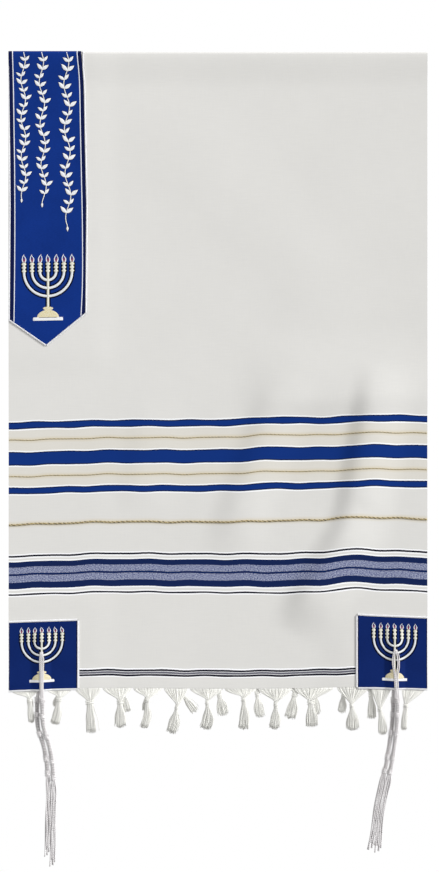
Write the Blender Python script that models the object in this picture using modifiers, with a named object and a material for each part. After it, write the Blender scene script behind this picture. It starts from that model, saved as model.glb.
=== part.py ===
"""A striped tallit, the fringed Jewish prayer shawl, folded in half across its middle and laid flat.

+Z is up. The fold lies along the top edge at +Y and both hems at -Y, with the four corner tassels
reaching furthest down. The origin is the middle of the whole outline, on the surface it rests on.
"Drop" is the distance from the outside of the fold towards the hems, before the cloth's own sag.
"""

import math

import bmesh
import bpy
from mathutils import Vector

# Driving dimensions, in metres
WIDTH = 0.550
OVERALL_LENGTH = 1.071
FRONT_HEM_DROP = 0.837
BACK_HEM_DROP = 0.823
CLOTH_THICKNESS = 0.0012
LAYER_GAP = 0.0006
SEAM_GAP = 0.0003
PATCH_THICKNESS = 0.0010
EDGE_INSET = 0.0015
PATCH_WIDTHS = {-1: 0.0902, 1: 0.0915}
PATCH_HEIGHTS = {-1: 0.0891, 1: 0.0911}
PATCH_INSET = 0.0001
NECKBAND_WIDTH = 0.099
NECKBAND_SHOULDER_DROPS = (0.3498, 0.3428)
NECKBAND_TIP_DROP = 0.3835
HOLE_FROM_SIDE = 0.043
HOLE_ABOVE_HEM = 0.049
HOLE_WIDTH = 0.0064
HOLE_LENGTH = 0.0050
FOLD_RADIUS = 0.0024
FOLD_STEPS = 6
FOLD_BULGE_RUN = 0.045
FRINGE_STRIP = 0.0025
FLAT_ENOUGH = 1e-6
STRING_BUNDLE = 0.0015

HALF_WIDTH = WIDTH / 2
HALF_CLOTH = CLOTH_THICKNESS / 2
FOLD_Y = OVERALL_LENGTH / 2
FOLD_TO_CENTRE = FOLD_RADIUS + HALF_CLOTH + SEAM_GAP + PATCH_THICKNESS
LAYER_PITCH = CLOTH_THICKNESS + LAYER_GAP
PATCH_LIFT = PATCH_THICKNESS + SEAM_GAP
HOLE_ACROSS = HALF_WIDTH - HOLE_FROM_SIDE

# PATCH_WIDTHS and PATCH_HEIGHTS go by the sign of x: the left corners' and the right corners'.
# The cloth stands over what lies beneath it: the far half's patches and neckband, and the strings.
UNDER_STRINGS_LIFT = STRING_BUNDLE + 2 * SEAM_GAP
BETWEEN_STRINGS_LIFT = STRING_BUNDLE + 2 * SEAM_GAP - LAYER_GAP
HEM_LIFT = 0.0015
HEM_LIFT_RUN = 0.030
PLATEAU_MARGIN = 0.004
RAMP = 0.020
PATCH_TOP_DROP = BACK_HEM_DROP - max(PATCH_HEIGHTS.values())
PLATEAU_EDGE = HALF_WIDTH - EDGE_INSET - NECKBAND_WIDTH - PLATEAU_MARGIN
RIDGE_TOP = HOLE_WIDTH / 2
RIDGE_FOOT = 0.0130
RIDGE_START = BACK_HEM_DROP - HOLE_ABOVE_HEM - 0.018
RIDGE_FULL = BACK_HEM_DROP - HOLE_ABOVE_HEM - 0.006

# How far the woven rows sag below straight, at three heights of the front half
SAG_LEVELS = (0.0, 0.53, 0.685, 0.837)
# across, at the stripes, at the band, at the hem
SAG = (
    (-0.275, 0.0039, 0.0033, 0.0020),
    (-0.207, 0.0020, 0.0013, -0.0005),
    (-0.142, 0.0003, -0.0009, -0.0010),
    (-0.024, 0.0000, 0.0000, 0.0000),
    (0.029, -0.0013, 0.0000, 0.0002),
    (0.068, -0.0039, 0.0004, 0.0000),
    (0.134, -0.0035, -0.0020, -0.0012),
    (0.173, -0.0055, -0.0063, -0.0022),
    (0.206, -0.0070, -0.0047, -0.0022),
    (0.275, -0.0056, -0.0016, -0.0006),
)

# The neckband's two long edges, which run in a little towards the fold
# drop, left edge, right edge
NECKBAND_EDGES = (
    (0.004, -0.2748, -0.1795),
    (0.038, -0.2742, -0.1765),
    (0.100, -0.2733, -0.1752),
    (0.156, -0.2725, -0.1740),
    (0.235, -0.2723, -0.1724),
    (0.314, -0.2729, -0.1727),
    (0.384, -0.2738, -0.1770),
)

# Soft wrinkles in the front half: ridges that are steep on their left or lower side only
# x0, drop0, x1, drop1, height, steep half width, gentle half width
WRINKLES = (
    (0.205, 0.450, 0.176, 0.590, 0.0076, 0.024, 0.062),
    (0.176, 0.590, 0.106, 0.738, 0.0082, 0.026, 0.066),
    (0.062, 0.459, 0.262, 0.451, 0.0050, 0.042, 0.095),
    (0.078, 0.462, 0.014, 0.640, 0.0048, 0.024, 0.055),
    (-0.090, 0.070, 0.150, 0.330, 0.0010, 0.085, 0.085),
    (-0.090, 0.480, -0.110, 0.600, 0.0014, 0.032, 0.060),
)

# The tassels of both hems
# root left, root right, knot x, knot drop, knot width, tail x, tail drop, tail width
FRONT_FRINGE = (
    (-0.2717, -0.2362, -0.2470, 0.8520, 0.0082, -0.2451, 0.8828, 0.0082),
    (-0.2240, -0.1920, -0.2088, 0.8510, 0.0095, -0.2170, 0.8845, 0.0125),
    (-0.1880, -0.1530, -0.1678, 0.8545, 0.0130, -0.1660, 0.8965, 0.0145),
    (-0.1515, -0.1135, -0.1286, 0.8540, 0.0095, -0.1283, 0.8895, 0.0150),
    (-0.1115, -0.0730, -0.0925, 0.8520, 0.0090, -0.1000, 0.8895, 0.0105),
    (-0.0710, -0.0400, -0.0538, 0.8610, 0.0068, -0.0625, 0.8965, 0.0150),
    (-0.0370, 0.0050, -0.0138, 0.8545, 0.0072, -0.0196, 0.8913, 0.0165),
    (0.0085, 0.0500, 0.0341, 0.8510, 0.0085, 0.0322, 0.8918, 0.0145),
    (0.0525, 0.0970, 0.0762, 0.8570, 0.0078, 0.0714, 0.8910, 0.0145),
    (0.1000, 0.1520, 0.1218, 0.8550, 0.0105, 0.1238, 0.8885, 0.0170),
    (0.1560, 0.1985, 0.1757, 0.8590, 0.0075, 0.1766, 0.8930, 0.0178),
    (0.2008, 0.2272, 0.2128, 0.8640, 0.0080, 0.2162, 0.8985, 0.0115),
    (0.2412, 0.2720, 0.2468, 0.8590, 0.0085, 0.2442, 0.8925, 0.0080),
)
BACK_FRINGE = (
    (-0.2717, -0.2402, -0.2480, 0.8430, 0.0075, -0.2468, 0.8640, 0.0085),
    (-0.2240, -0.1890, -0.2092, 0.8440, 0.0065, -0.2138, 0.8620, 0.0075),
    (-0.1860, -0.1500, -0.1680, 0.8450, 0.0080, -0.1675, 0.8680, 0.0100),
    (-0.1480, -0.1110, -0.1235, 0.8440, 0.0075, -0.1195, 0.8690, 0.0110),
    (-0.1080, -0.0730, -0.0929, 0.8440, 0.0075, -0.0960, 0.8680, 0.0090),
    (-0.0700, -0.0375, -0.0460, 0.8450, 0.0080, -0.0290, 0.8690, 0.0120),
    (-0.0345, 0.0170, 0.0020, 0.8450, 0.0090, 0.0090, 0.8735, 0.0160),
    (0.0200, 0.0670, 0.0520, 0.8450, 0.0080, 0.0570, 0.8755, 0.0140),
    (0.0700, 0.1120, 0.1010, 0.8450, 0.0090, 0.0935, 0.8780, 0.0160),
    (0.1140, 0.1460, 0.1290, 0.8450, 0.0070, 0.1300, 0.8730, 0.0100),
    (0.1490, 0.1790, 0.1650, 0.8450, 0.0075, 0.1620, 0.8700, 0.0110),
    (0.1820, 0.2230, 0.2010, 0.8450, 0.0080, 0.2020, 0.8780, 0.0120),
    (0.2405, 0.2720, 0.2490, 0.8440, 0.0065, 0.2470, 0.8610, 0.0070),
)
FAN_LOCKS = 4
TAIL_LOCKS = 3
LOCK_GAP = 0.0004
FRONT_KNOT_Z = 0.0064
BACK_KNOT_Z = 0.0020
FLOOR_CLEARANCE = 0.0004

# Tzitzit routes past the hem: (across, drop), the first point being the first double knot
TZITZIT_ROUTES = {
    "front_left": (
        (-0.2304, 0.8519), (-0.2303, 0.8680), (-0.2286, 0.8880), (-0.2228, 0.9080), (-0.2189, 0.9260),
        (-0.2165, 0.9480), (-0.2158, 0.9830), (-0.2165, 1.0290), (-0.2182, 1.0710),
    ),
    "back_left": (
        (-0.2372, 0.8519), (-0.2374, 0.8680), (-0.2362, 0.8890), (-0.2303, 0.9080), (-0.2260, 0.9280),
        (-0.2237, 0.9500), (-0.2227, 0.9830), (-0.2234, 1.0230), (-0.2252, 1.0580),
    ),
    "front_right": (
        (0.2352, 0.8519), (0.2350, 0.8716), (0.2338, 0.8939), (0.2308, 0.9175), (0.2280, 0.9359),
        (0.2240, 0.9560), (0.2188, 0.9831), (0.2142, 1.0160), (0.2107, 1.0527),
    ),
    "back_right": (
        (0.2302, 0.8519), (0.2296, 0.8716), (0.2275, 0.8939), (0.2239, 0.9175), (0.2210, 0.9359),
        (0.2158, 0.9560), (0.2096, 0.9831), (0.2046, 1.0160), (0.1985, 1.0488),
    ),
}
FRONT_ROUTE_HEIGHTS = (0.0092, 0.0086, 0.0068, 0.0048, 0.0040, 0.0039, 0.0037, 0.0034, 0.0031)
BACK_ROUTE_HEIGHTS = (0.0041, 0.0039, 0.0038, 0.0038, 0.0038, 0.0038, 0.0036, 0.0033, 0.0031)
LANE_OFFSET = 0.0014
WINDING_RADIUS = 0.0030
KNOT_RADIUS = 0.0036
WOUND_SHARE = 0.47
DOUBLE_KNOTS = (0.0, 0.20, 0.46, 0.74, 1.0)
STRANDS_ACROSS = 4
STRAND_SIDE = 0.0013
STRAND_PITCH = 0.0017
STRAND_ENDS = (0.0, 0.006, 0.002, 0.009)

WHITE_CLOTH = ((0.740, 0.735, 0.700), 0.85)
ROYAL_BLUE = ((0.012, 0.036, 0.200), 0.45)
WHITE_YARN = ((0.760, 0.750, 0.710), 0.80)


def smoothstep(value):
    value = min(1.0, max(0.0, value))
    return value * value * (3 - 2 * value)


def mix(a, b, share):
    return a + (b - a) * share


def smooth_table(places, values, at):
    """A smooth curve through a table's values: Hermite pieces with the table's own slopes."""
    if at <= places[0]:
        return values[0]
    if at >= places[-1]:
        return values[-1]
    i = max(k for k, place in enumerate(places) if place <= at)
    last = len(places) - 1

    def slope(k):
        a, b = max(0, k - 1), min(last, k + 1)
        return (values[b] - values[a]) / (places[b] - places[a])

    run = places[i + 1] - places[i]
    t = (at - places[i]) / run
    ends = (2 * t**3 - 3 * t**2 + 1) * values[i] + (3 * t**2 - 2 * t**3) * values[i + 1]
    slopes = (t**3 - 2 * t**2 + t) * slope(i) + (t**3 - t**2) * slope(i + 1)
    return ends + slopes * run


def sag(x, drop):
    """How far a woven row of the front half runs below straight."""
    across = [row[0] for row in SAG]
    levels = [0.0] + [smooth_table(across, [row[k] for row in SAG], x) for k in (1, 2, 3)]
    return smooth_table(SAG_LEVELS, levels, drop)


def wrinkle_height(x, drop):
    total = 0.0
    for x0, drop0, x1, drop1, height, steep, gentle in WRINKLES:
        run_x, run_drop = x1 - x0, drop1 - drop0
        length = math.hypot(run_x, run_drop)
        along = ((x - x0) * run_x + (drop - drop0) * run_drop) / length**2
        off = ((x - x0) * run_drop - (drop - drop0) * run_x) / length
        share = off / gentle if off > 0 else -off / steep
        if share < 1 and -0.25 < along < 1.25:
            ends = smoothstep((along + 0.25) / 0.5) * smoothstep((1.25 - along) / 0.5)
            total += height * ends * math.cos(math.pi / 2 * share) ** 2
    return total


def patch_plateau(x, drop):
    """1 where the cloth stands on the far half's corner patches, 0 away from them."""
    side = smoothstep((abs(x) - PLATEAU_EDGE + RAMP) / RAMP)
    return side * smoothstep((drop - PATCH_TOP_DROP + PLATEAU_MARGIN + RAMP) / RAMP)


def neckband_plateau(x, drop):
    """1 where the cloth stands on the far half of the neckband."""
    side = smoothstep((RAMP - PLATEAU_EDGE - x) / RAMP)
    return side * smoothstep((NECKBAND_TIP_DROP + PLATEAU_MARGIN + RAMP - drop) / RAMP)


def string_ridge(x, drop):
    """1 over the tzitzit strings that run from a corner's hole to the hem."""
    off = abs(abs(x) - HOLE_ACROSS)
    side = min(1.0, max(0.0, (RIDGE_FOOT - off) / (RIDGE_FOOT - RIDGE_TOP)))
    along = min(1.0, max(0.0, (drop - RIDGE_START) / (RIDGE_FULL - RIDGE_START)))
    return side * along


def back_height(x, drop):
    """Height of the middle of the far half's cloth."""
    lift = PATCH_LIFT * max(patch_plateau(x, drop), neckband_plateau(x, drop))
    return HALF_CLOTH + lift + UNDER_STRINGS_LIFT * string_ridge(x, drop)


def front_height(x, drop):
    """Height of the middle of the near half's cloth."""
    run = drop - FOLD_TO_CENTRE
    bulge = (2 * FOLD_RADIUS - LAYER_PITCH) * (1 - smoothstep(run / FOLD_BULGE_RUN))
    hem = HEM_LIFT * smoothstep((drop - FRONT_HEM_DROP + HEM_LIFT_RUN) / HEM_LIFT_RUN)
    strings = BETWEEN_STRINGS_LIFT * string_ridge(x, drop)
    return back_height(x, drop) + LAYER_PITCH + bulge + hem + strings + wrinkle_height(x, drop)


def cloth_point(side, x, at, out=0.0):
    """A point of the cloth's middle surface, moved out by that much. at is a drop, or an angle on the fold."""
    if side == "fold":
        centre_z = back_height(x, FOLD_TO_CENTRE) + FOLD_RADIUS
        reach = FOLD_RADIUS + out
        return Vector((x, FOLD_Y - FOLD_TO_CENTRE + reach * math.cos(at), centre_z + reach * math.sin(at)))
    height = front_height if side == "front" else back_height
    facing = 1 if side == "front" else -1
    step = 0.0005
    slope_x = (height(x + step, at) - height(x - step, at)) / (2 * step)
    slope_y = -(height(x, at + step) - height(x, at - step)) / (2 * step)
    normal = Vector((-slope_x, -slope_y, 1)).normalized() * facing
    y = FOLD_Y - at - (sag(x, at) if side == "front" else 0.0)
    flat_normal = abs(normal.z) > 0.999
    offset = Vector((0, 0, out * facing)) if flat_normal else normal * out
    return Vector((x, y, height(x, at))) + offset


def fold_rows(steps=FOLD_STEPS):
    """The rows round the fold, from underneath to on top."""
    return [("fold", -math.pi / 2 + math.pi * k / steps) for k in range(steps + 1)]


def material(name, colour, roughness):
    made = bpy.data.materials.new(name)
    made.use_nodes = True
    shader = made.node_tree.nodes["Principled BSDF"]
    shader.inputs["Base Color"].default_value = (*colour, 1)
    shader.inputs["Roughness"].default_value = roughness
    shader.inputs["Metallic"].default_value = 0.0
    return made


def object_from(name, mesh, collection, finish=None):
    made = bpy.data.objects.new(name, mesh)
    collection.objects.link(made)
    if finish:
        mesh.materials.append(finish)
    return made


def add_cell(mesh, a, b, c, d):
    """One cell as a flat quad, or as two triangles that share its higher diagonal."""
    rise = a.co.z + c.co.z - b.co.z - d.co.z
    if abs(rise) < FLAT_ENOUGH:
        mesh.faces.new((a, b, c, d))
    elif rise > 0:
        mesh.faces.new((a, b, c))
        mesh.faces.new((a, c, d))
    else:
        mesh.faces.new((a, b, d))
        mesh.faces.new((b, c, d))


def surface_mesh(name, rows, columns, point, keep=lambda row, column: True):
    """A grid of quads over rows and columns, with the cells that keep refuses left out."""
    mesh = bmesh.new()
    grid = [[mesh.verts.new(point(row, column)) for column in columns] for row in rows]
    for i in range(len(rows) - 1):
        for j in range(len(columns) - 1):
            if keep(i, j):
                add_cell(mesh, grid[i][j], grid[i][j + 1], grid[i + 1][j + 1], grid[i + 1][j])
    bmesh.ops.delete(mesh, geom=[v for v in mesh.verts if not v.link_faces], context="VERTS")
    made = bpy.data.meshes.new(name)
    mesh.to_mesh(made)
    mesh.free()
    return made


def solidify(piece, thickness):
    """Gives an open surface its real thickness, half on each side."""
    wall = piece.modifiers.new("wall", "SOLIDIFY")
    wall.thickness = thickness
    wall.offset = 0.0
    wall.use_even_offset = True


def hole_columns():
    """The columns beside and over both corner holes and the ridges there."""
    offsets = (-RIDGE_FOOT, -RIDGE_TOP, RIDGE_TOP, RIDGE_FOOT)
    return [sign * HOLE_ACROSS + offset for sign in (-1, 1) for offset in offsets]


def shawl_columns():
    middle = [-0.125, -0.095, -0.065, -0.036, -0.008, 0.018, 0.044, 0.070, 0.096, 0.118, 0.138]
    edges = (PLATEAU_EDGE - RAMP, PLATEAU_EDGE, 0.198, HALF_WIDTH)
    flanks = [sign * edge for sign in (-1, 1) for edge in edges]
    return sorted(set(middle + flanks + hole_columns()))


def hole_rows(hem_drop):
    centre = hem_drop - HOLE_ABOVE_HEM
    return centre - HOLE_LENGTH / 2, centre + HOLE_LENGTH / 2


def corner_rows(side):
    """The rows of a half from the far side of its patches to the hem."""
    plateau = PATCH_TOP_DROP - PLATEAU_MARGIN
    shared = [plateau - RAMP, plateau, RIDGE_START, RIDGE_FULL]
    if side == "back":
        return shared + [*hole_rows(BACK_HEM_DROP), 0.798, BACK_HEM_DROP]
    lifting = [FRONT_HEM_DROP - HEM_LIFT_RUN * share for share in (1, 0.5, 0)]
    return shared + [*hole_rows(FRONT_HEM_DROP), *lifting]


def shawl_rows():
    """(side, place) for every row of the cloth, from the far hem round the fold to the near hem."""
    band_end = NECKBAND_TIP_DROP + PLATEAU_MARGIN
    front = [FOLD_TO_CENTRE + FOLD_BULGE_RUN * share for share in (0.2, 0.45, 0.7, 1.0)]
    front += [0.100, 0.155, 0.210, 0.265, 0.325, band_end, band_end + RAMP]
    front += [0.425, 0.446, 0.468, 0.492, 0.522, 0.552, 0.582, 0.612, 0.642, 0.680] + corner_rows("front")
    back = [0.060, 0.160, 0.270, band_end, band_end + RAMP, 0.500, 0.610] + corner_rows("back")
    return [("back", drop) for drop in reversed(back)] + fold_rows() + [("front", drop) for drop in front]


def build_shawl(collection, finish):
    rows, columns = shawl_rows(), shawl_columns()
    openings = []
    for side, hem in (("back", BACK_HEM_DROP), ("front", FRONT_HEM_DROP)):
        first, last = hole_rows(hem)
        i = min(rows.index((side, first)), rows.index((side, last)))
        openings += [(i, columns.index(sign * HOLE_ACROSS - RIDGE_TOP)) for sign in (-1, 1)]
    mesh = surface_mesh(
        "shawl_cloth", rows, columns,
        lambda row, x: cloth_point(row[0], x, row[1]),
        lambda i, j: (i, j) not in openings,
    )
    solidify(object_from("shawl_cloth", mesh, collection, finish), CLOTH_THICKNESS)


def neckband_across(share, drop):
    """The place across the shawl at a share of the band's width."""
    drops, lefts, rights = zip(*NECKBAND_EDGES)
    return mix(smooth_table(drops, lefts, drop), smooth_table(drops, rights, drop), share)


def build_neckband(collection, finish):
    """The pointed band along one long edge, sewn on outside the cloth and folded with it."""
    shares = (0.0, 0.25, 0.5, 0.75, 1.0)
    shoulders = [mix(*NECKBAND_SHOULDER_DROPS, share) for share in shares]
    out = HALF_CLOTH + SEAM_GAP + PATCH_THICKNESS / 2
    bulge = [FOLD_TO_CENTRE + FOLD_BULGE_RUN * share for share in (0.2, 0.45, 0.7, 1.0)]
    straight = bulge + [0.100, 0.156, 0.235, 0.314]
    mesh = bmesh.new()

    def place(side, share, at):
        drop = FOLD_TO_CENTRE if side == "fold" else at
        return cloth_point(side, neckband_across(share, drop), at, out)

    def grow(rows):
        grid = [[mesh.verts.new(place(side, share, at)) for share in shares] for side, at in rows]
        for lower, upper in zip(grid, grid[1:]):
            for j in range(len(shares) - 1):
                mesh.faces.new((lower[j], lower[j + 1], upper[j + 1], upper[j]))

    grow([("back", d) for d in reversed(straight)] + fold_rows() + [("front", d) for d in straight])
    for side in ("front", "back"):
        last = [mesh.verts.new(place(side, share, straight[-1])) for share in shares]
        b = [mesh.verts.new(place(side, share, drop)) for share, drop in zip(shares, shoulders)]
        for j in range(len(shares) - 1):
            mesh.faces.new((last[j], last[j + 1], b[j + 1], b[j]))
        halfway = [mix(drop, NECKBAND_TIP_DROP, 0.5) for drop in (shoulders[0], shoulders[2], shoulders[4])]
        t = [mesh.verts.new(place(side, share, drop)) for share, drop in zip(shares[1:4], halfway)]
        t.append(mesh.verts.new(place(side, shares[2], NECKBAND_TIP_DROP)))
        faces = [(b[0], t[0], b[1]), (b[1], t[0], t[1], b[2]), (b[2], t[1], t[2], b[3])]
        faces += [(b[3], t[2], b[4]), (t[0], t[3], t[1]), (t[1], t[3], t[2])]
        for face in faces:
            mesh.faces.new(face)
    bmesh.ops.remove_doubles(mesh, verts=mesh.verts, dist=1e-6)
    bmesh.ops.recalc_face_normals(mesh, faces=mesh.faces)
    made = bpy.data.meshes.new("neckband")
    mesh.to_mesh(made)
    mesh.free()
    solidify(object_from("neckband", made, collection, finish), PATCH_THICKNESS)


def build_patch(side, sign, collection, finish):
    """A square patch over one corner, with the hole that its tzitzit passes through."""
    hem = FRONT_HEM_DROP if side == "front" else BACK_HEM_DROP
    top = hem - PATCH_HEIGHTS[sign]
    outer = HALF_WIDTH - PATCH_INSET
    inner = outer - PATCH_WIDTHS[sign]
    beside = [HOLE_ACROSS + k for k in (-RIDGE_FOOT, -RIDGE_TOP, RIDGE_TOP, RIDGE_FOOT)]
    columns = sorted(sign * x for x in [outer, inner, *beside])
    rows = [top] + [drop for drop in corner_rows(side) if top < drop < hem] + [hem + PATCH_INSET]
    hole = (rows.index(hole_rows(hem)[0]), columns.index(sign * HOLE_ACROSS - RIDGE_TOP))
    out = HALF_CLOTH + SEAM_GAP + PATCH_THICKNESS / 2
    name = f"corner_patch_{side}_{'left' if sign < 0 else 'right'}"
    mesh = surface_mesh(
        name, rows, columns,
        lambda drop, x: cloth_point(side, x, drop, out),
        lambda i, j: (i, j) != hole,
    )
    solidify(object_from(name, mesh, collection, finish), PATCH_THICKNESS)


def loft(name, rings, collection):
    """A closed solid through rings of the same number of points."""
    mesh = bmesh.new()
    made = [[mesh.verts.new(p) for p in ring] for ring in rings]
    count = len(rings[0])
    for lower, upper in zip(made, made[1:]):
        for k in range(count):
            mesh.faces.new((lower[k], lower[(k + 1) % count], upper[(k + 1) % count], upper[k]))
    mesh.faces.new(made[0])
    mesh.faces.new(made[-1])
    bmesh.ops.recalc_face_normals(mesh, faces=mesh.faces)
    data = bpy.data.meshes.new(name)
    mesh.to_mesh(data)
    mesh.free()
    return object_from(name, data, collection)


def ring_directions(points, across=None):
    """For each point of a route: the way across it and the way out of it, stretched at bends."""
    found = []
    for k, point in enumerate(points):
        before = (point - points[k - 1]).normalized() if k else None
        after = (points[k + 1] - point).normalized() if k < len(points) - 1 else None
        along = ((before or after) + (after or before)).normalized()
        side = across or along.cross(Vector((0, 0, 1))).normalized()
        out = side.cross(along).normalized()
        stretch = 1 / max(0.5, along.dot(after or before))
        found.append((side, out * stretch))
    return found


def tube(name, points, widths, heights, collection, sides=4, across=None):
    """A solid along a route, of that full width and height at each point."""
    turn = math.pi / sides
    size = 1 / math.cos(turn) if sides == 4 else 1.0
    rings = []
    directions = ring_directions(points, across)
    for point, (side, out), width, height in zip(points, directions, widths, heights):
        rings.append([
            point
            + side * (width / 2 * size * math.cos(turn + math.tau * k / sides))
            + out * (height / 2 * size * math.sin(turn + math.tau * k / sides))
            for k in range(sides)
        ])
    return loft(name, rings, collection)


def join_all(base, helpers):
    """Fuses the helper solids into the base, which becomes one body."""
    for helper in helpers.objects:
        helper.hide_render = True
        helper.display_type = "WIRE"
    union = base.modifiers.new("fused", "BOOLEAN")
    union.operation = "UNION"
    union.operand_type = "COLLECTION"
    union.collection = helpers
    union.solver = "EXACT"


def helper_collection(name, cutters):
    made = bpy.data.collections.new(name)
    cutters.children.link(made)
    return made


def hem_height(side, x):
    hem = FRONT_HEM_DROP if side == "front" else BACK_HEM_DROP
    return cloth_point(side, x, hem).z


def hem_y(side, x):
    hem = FRONT_HEM_DROP if side == "front" else BACK_HEM_DROP
    return cloth_point(side, x, hem).y


def build_fringe(side, table, knot_z, collection, cutters, finish):
    """A narrow strip along a hem, with a knotted tassel hanging from each bunch of warp ends."""
    name = f"fringe_{side}"
    columns = shawl_columns()
    columns[0], columns[-1] = -HALF_WIDTH + EDGE_INSET, HALF_WIDTH - EDGE_INSET
    rings = []
    for x in columns:
        y, z = hem_y(side, x) - SEAM_GAP, hem_height(side, x)
        rings.append([
            Vector((x, y - FRINGE_STRIP * dy, z + HALF_CLOTH * dz))
            for dy, dz in ((0, -1), (0, 1), (1, 1), (1, -1))
        ])
    strip = loft(name, rings, collection)
    strip.data.materials.append(finish)
    helpers = helper_collection(f"{name}_pieces", cutters)
    for root_left, root_right, knot_x, knot_drop, knot_width, tail_x, tail_drop, tail_width in table:
        knot = Vector((knot_x, FOLD_Y - knot_drop, knot_z))
        tail = Vector((tail_x, FOLD_Y - tail_drop, FLOOR_CLEARANCE + 0.0011))
        down = (tail - knot).normalized()
        build_fan(side, root_left, root_right, knot, knot_width, helpers)
        knot_height = 2 * (min(knot_z - FLOOR_CLEARANCE, 0.0020))
        tube(
            "knot",
            [knot + down * d for d in (-0.0034, -0.0016, 0.0016, 0.0034)],
            [knot_width * share for share in (0.6, 1.0, 1.0, 0.7)],
            [knot_height * share for share in (0.55, 1.0, 1.0, 0.55)],
            helpers, sides=6,
        )
        build_tail(knot, tail, knot_width, tail_width, helpers)
    join_all(strip, helpers)


def build_fan(side, root_left, root_right, knot, knot_width, helpers):
    """The warp ends of one bunch, drawn together from the hem into the knot."""
    pitch = (root_right - root_left) / FAN_LOCKS
    for k in range(FAN_LOCKS):
        x = root_left + pitch * (k + 0.5)
        root = Vector((x, hem_y(side, x) - SEAM_GAP - FRINGE_STRIP * 0.5, hem_height(side, x)))
        lane = (k + 0.5) / FAN_LOCKS - 0.5
        bunch = knot + Vector((lane * knot_width * 0.8, 0.0006, 0.0))
        tube(
            "warp_ends", [root, bunch], [pitch - 0.0014, knot_width * 0.2], [0.0009, 0.0013], helpers,
            across=Vector((1, 0, 0)),
        )


def build_tail(knot, tail, knot_width, width, helpers):
    """The cut ends below a knot, standing a little apart."""
    down = (tail - knot).normalized()
    across = down.cross(Vector((0, 0, 1))).normalized()
    lock = (width - LOCK_GAP * (TAIL_LOCKS - 1)) / TAIL_LOCKS
    for k in range(TAIL_LOCKS):
        lane = k - (TAIL_LOCKS - 1) / 2
        end = tail + across * lane * (lock + LOCK_GAP) + down * (-0.002 if k % 2 else 0.0)
        start = knot + down * 0.0012 + across * lane * knot_width * 0.3
        tube("cut_ends", [start, end], [knot_width * 0.26, lock], [0.0015, 0.0019], helpers)


def route_curve(name, heights):
    """Evenly spaced points along a tzitzit's smooth route below the hem."""
    places = [
        Vector((x, FOLD_Y - drop, z)) for (x, drop), z in zip(TZITZIT_ROUTES[name], heights)
    ]
    run = [0.0]
    for a, b in zip(places, places[1:]):
        run.append(run[-1] + (b - a).length)

    def at(share):
        d = share * run[-1]
        return Vector([smooth_table(run, [p[k] for p in places], d) for k in range(3)])

    return at, run[-1]


def string_loop(side, sign, knot, helpers, name):
    """The strings' loop: behind the hem, up through the corner's hole and down over the patch."""
    hem = FRONT_HEM_DROP if side == "front" else BACK_HEM_DROP
    hole = hem - HOLE_ABOVE_HEM
    facing = 1 if side == "front" else -1
    lane = sign * HOLE_ACROSS + facing * LANE_OFFSET
    centre = sign * HOLE_ACROSS
    inside = -(HALF_CLOTH + SEAM_GAP + STRING_BUNDLE / 2)
    outside = HALF_CLOTH + 2 * SEAM_GAP + PATCH_THICKNESS + STRING_BUNDLE / 2
    rows = [hole] + [drop for drop in corner_rows(side) if drop > hole + HOLE_LENGTH] + [hem + 0.0035]
    height = front_height if side == "front" else back_height

    def place(drop, out, x):
        at = min(drop, hem)
        y = cloth_point(side, centre, at).y - (drop - at)
        return Vector((x, y, height(centre, at) + out * facing))

    behind = [place(drop, inside, lane) for drop in reversed(rows)]
    over = [place(rows[0], outside, lane)]
    over += [place(drop, outside, mix(lane, centre, 0.4)) for drop in rows[1:]]
    points = [knot.copy(), *behind, *over, knot.copy()]
    rear, top = 0.0025, 0.0060
    widths = [0.0030] + [rear] * (len(behind) + 1) + [top] * (len(over) - 1) + [0.0040]
    heights = [STRING_BUNDLE] * len(points)
    half = len(behind) + 1
    tube(name, points[:half + 2], widths[:half + 2], heights[:half + 2], helpers, across=Vector((1, 0, 0)))
    tube(name, points[half:], [rear, *widths[half + 1:]], heights[half:], helpers, across=Vector((1, 0, 0)))


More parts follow.
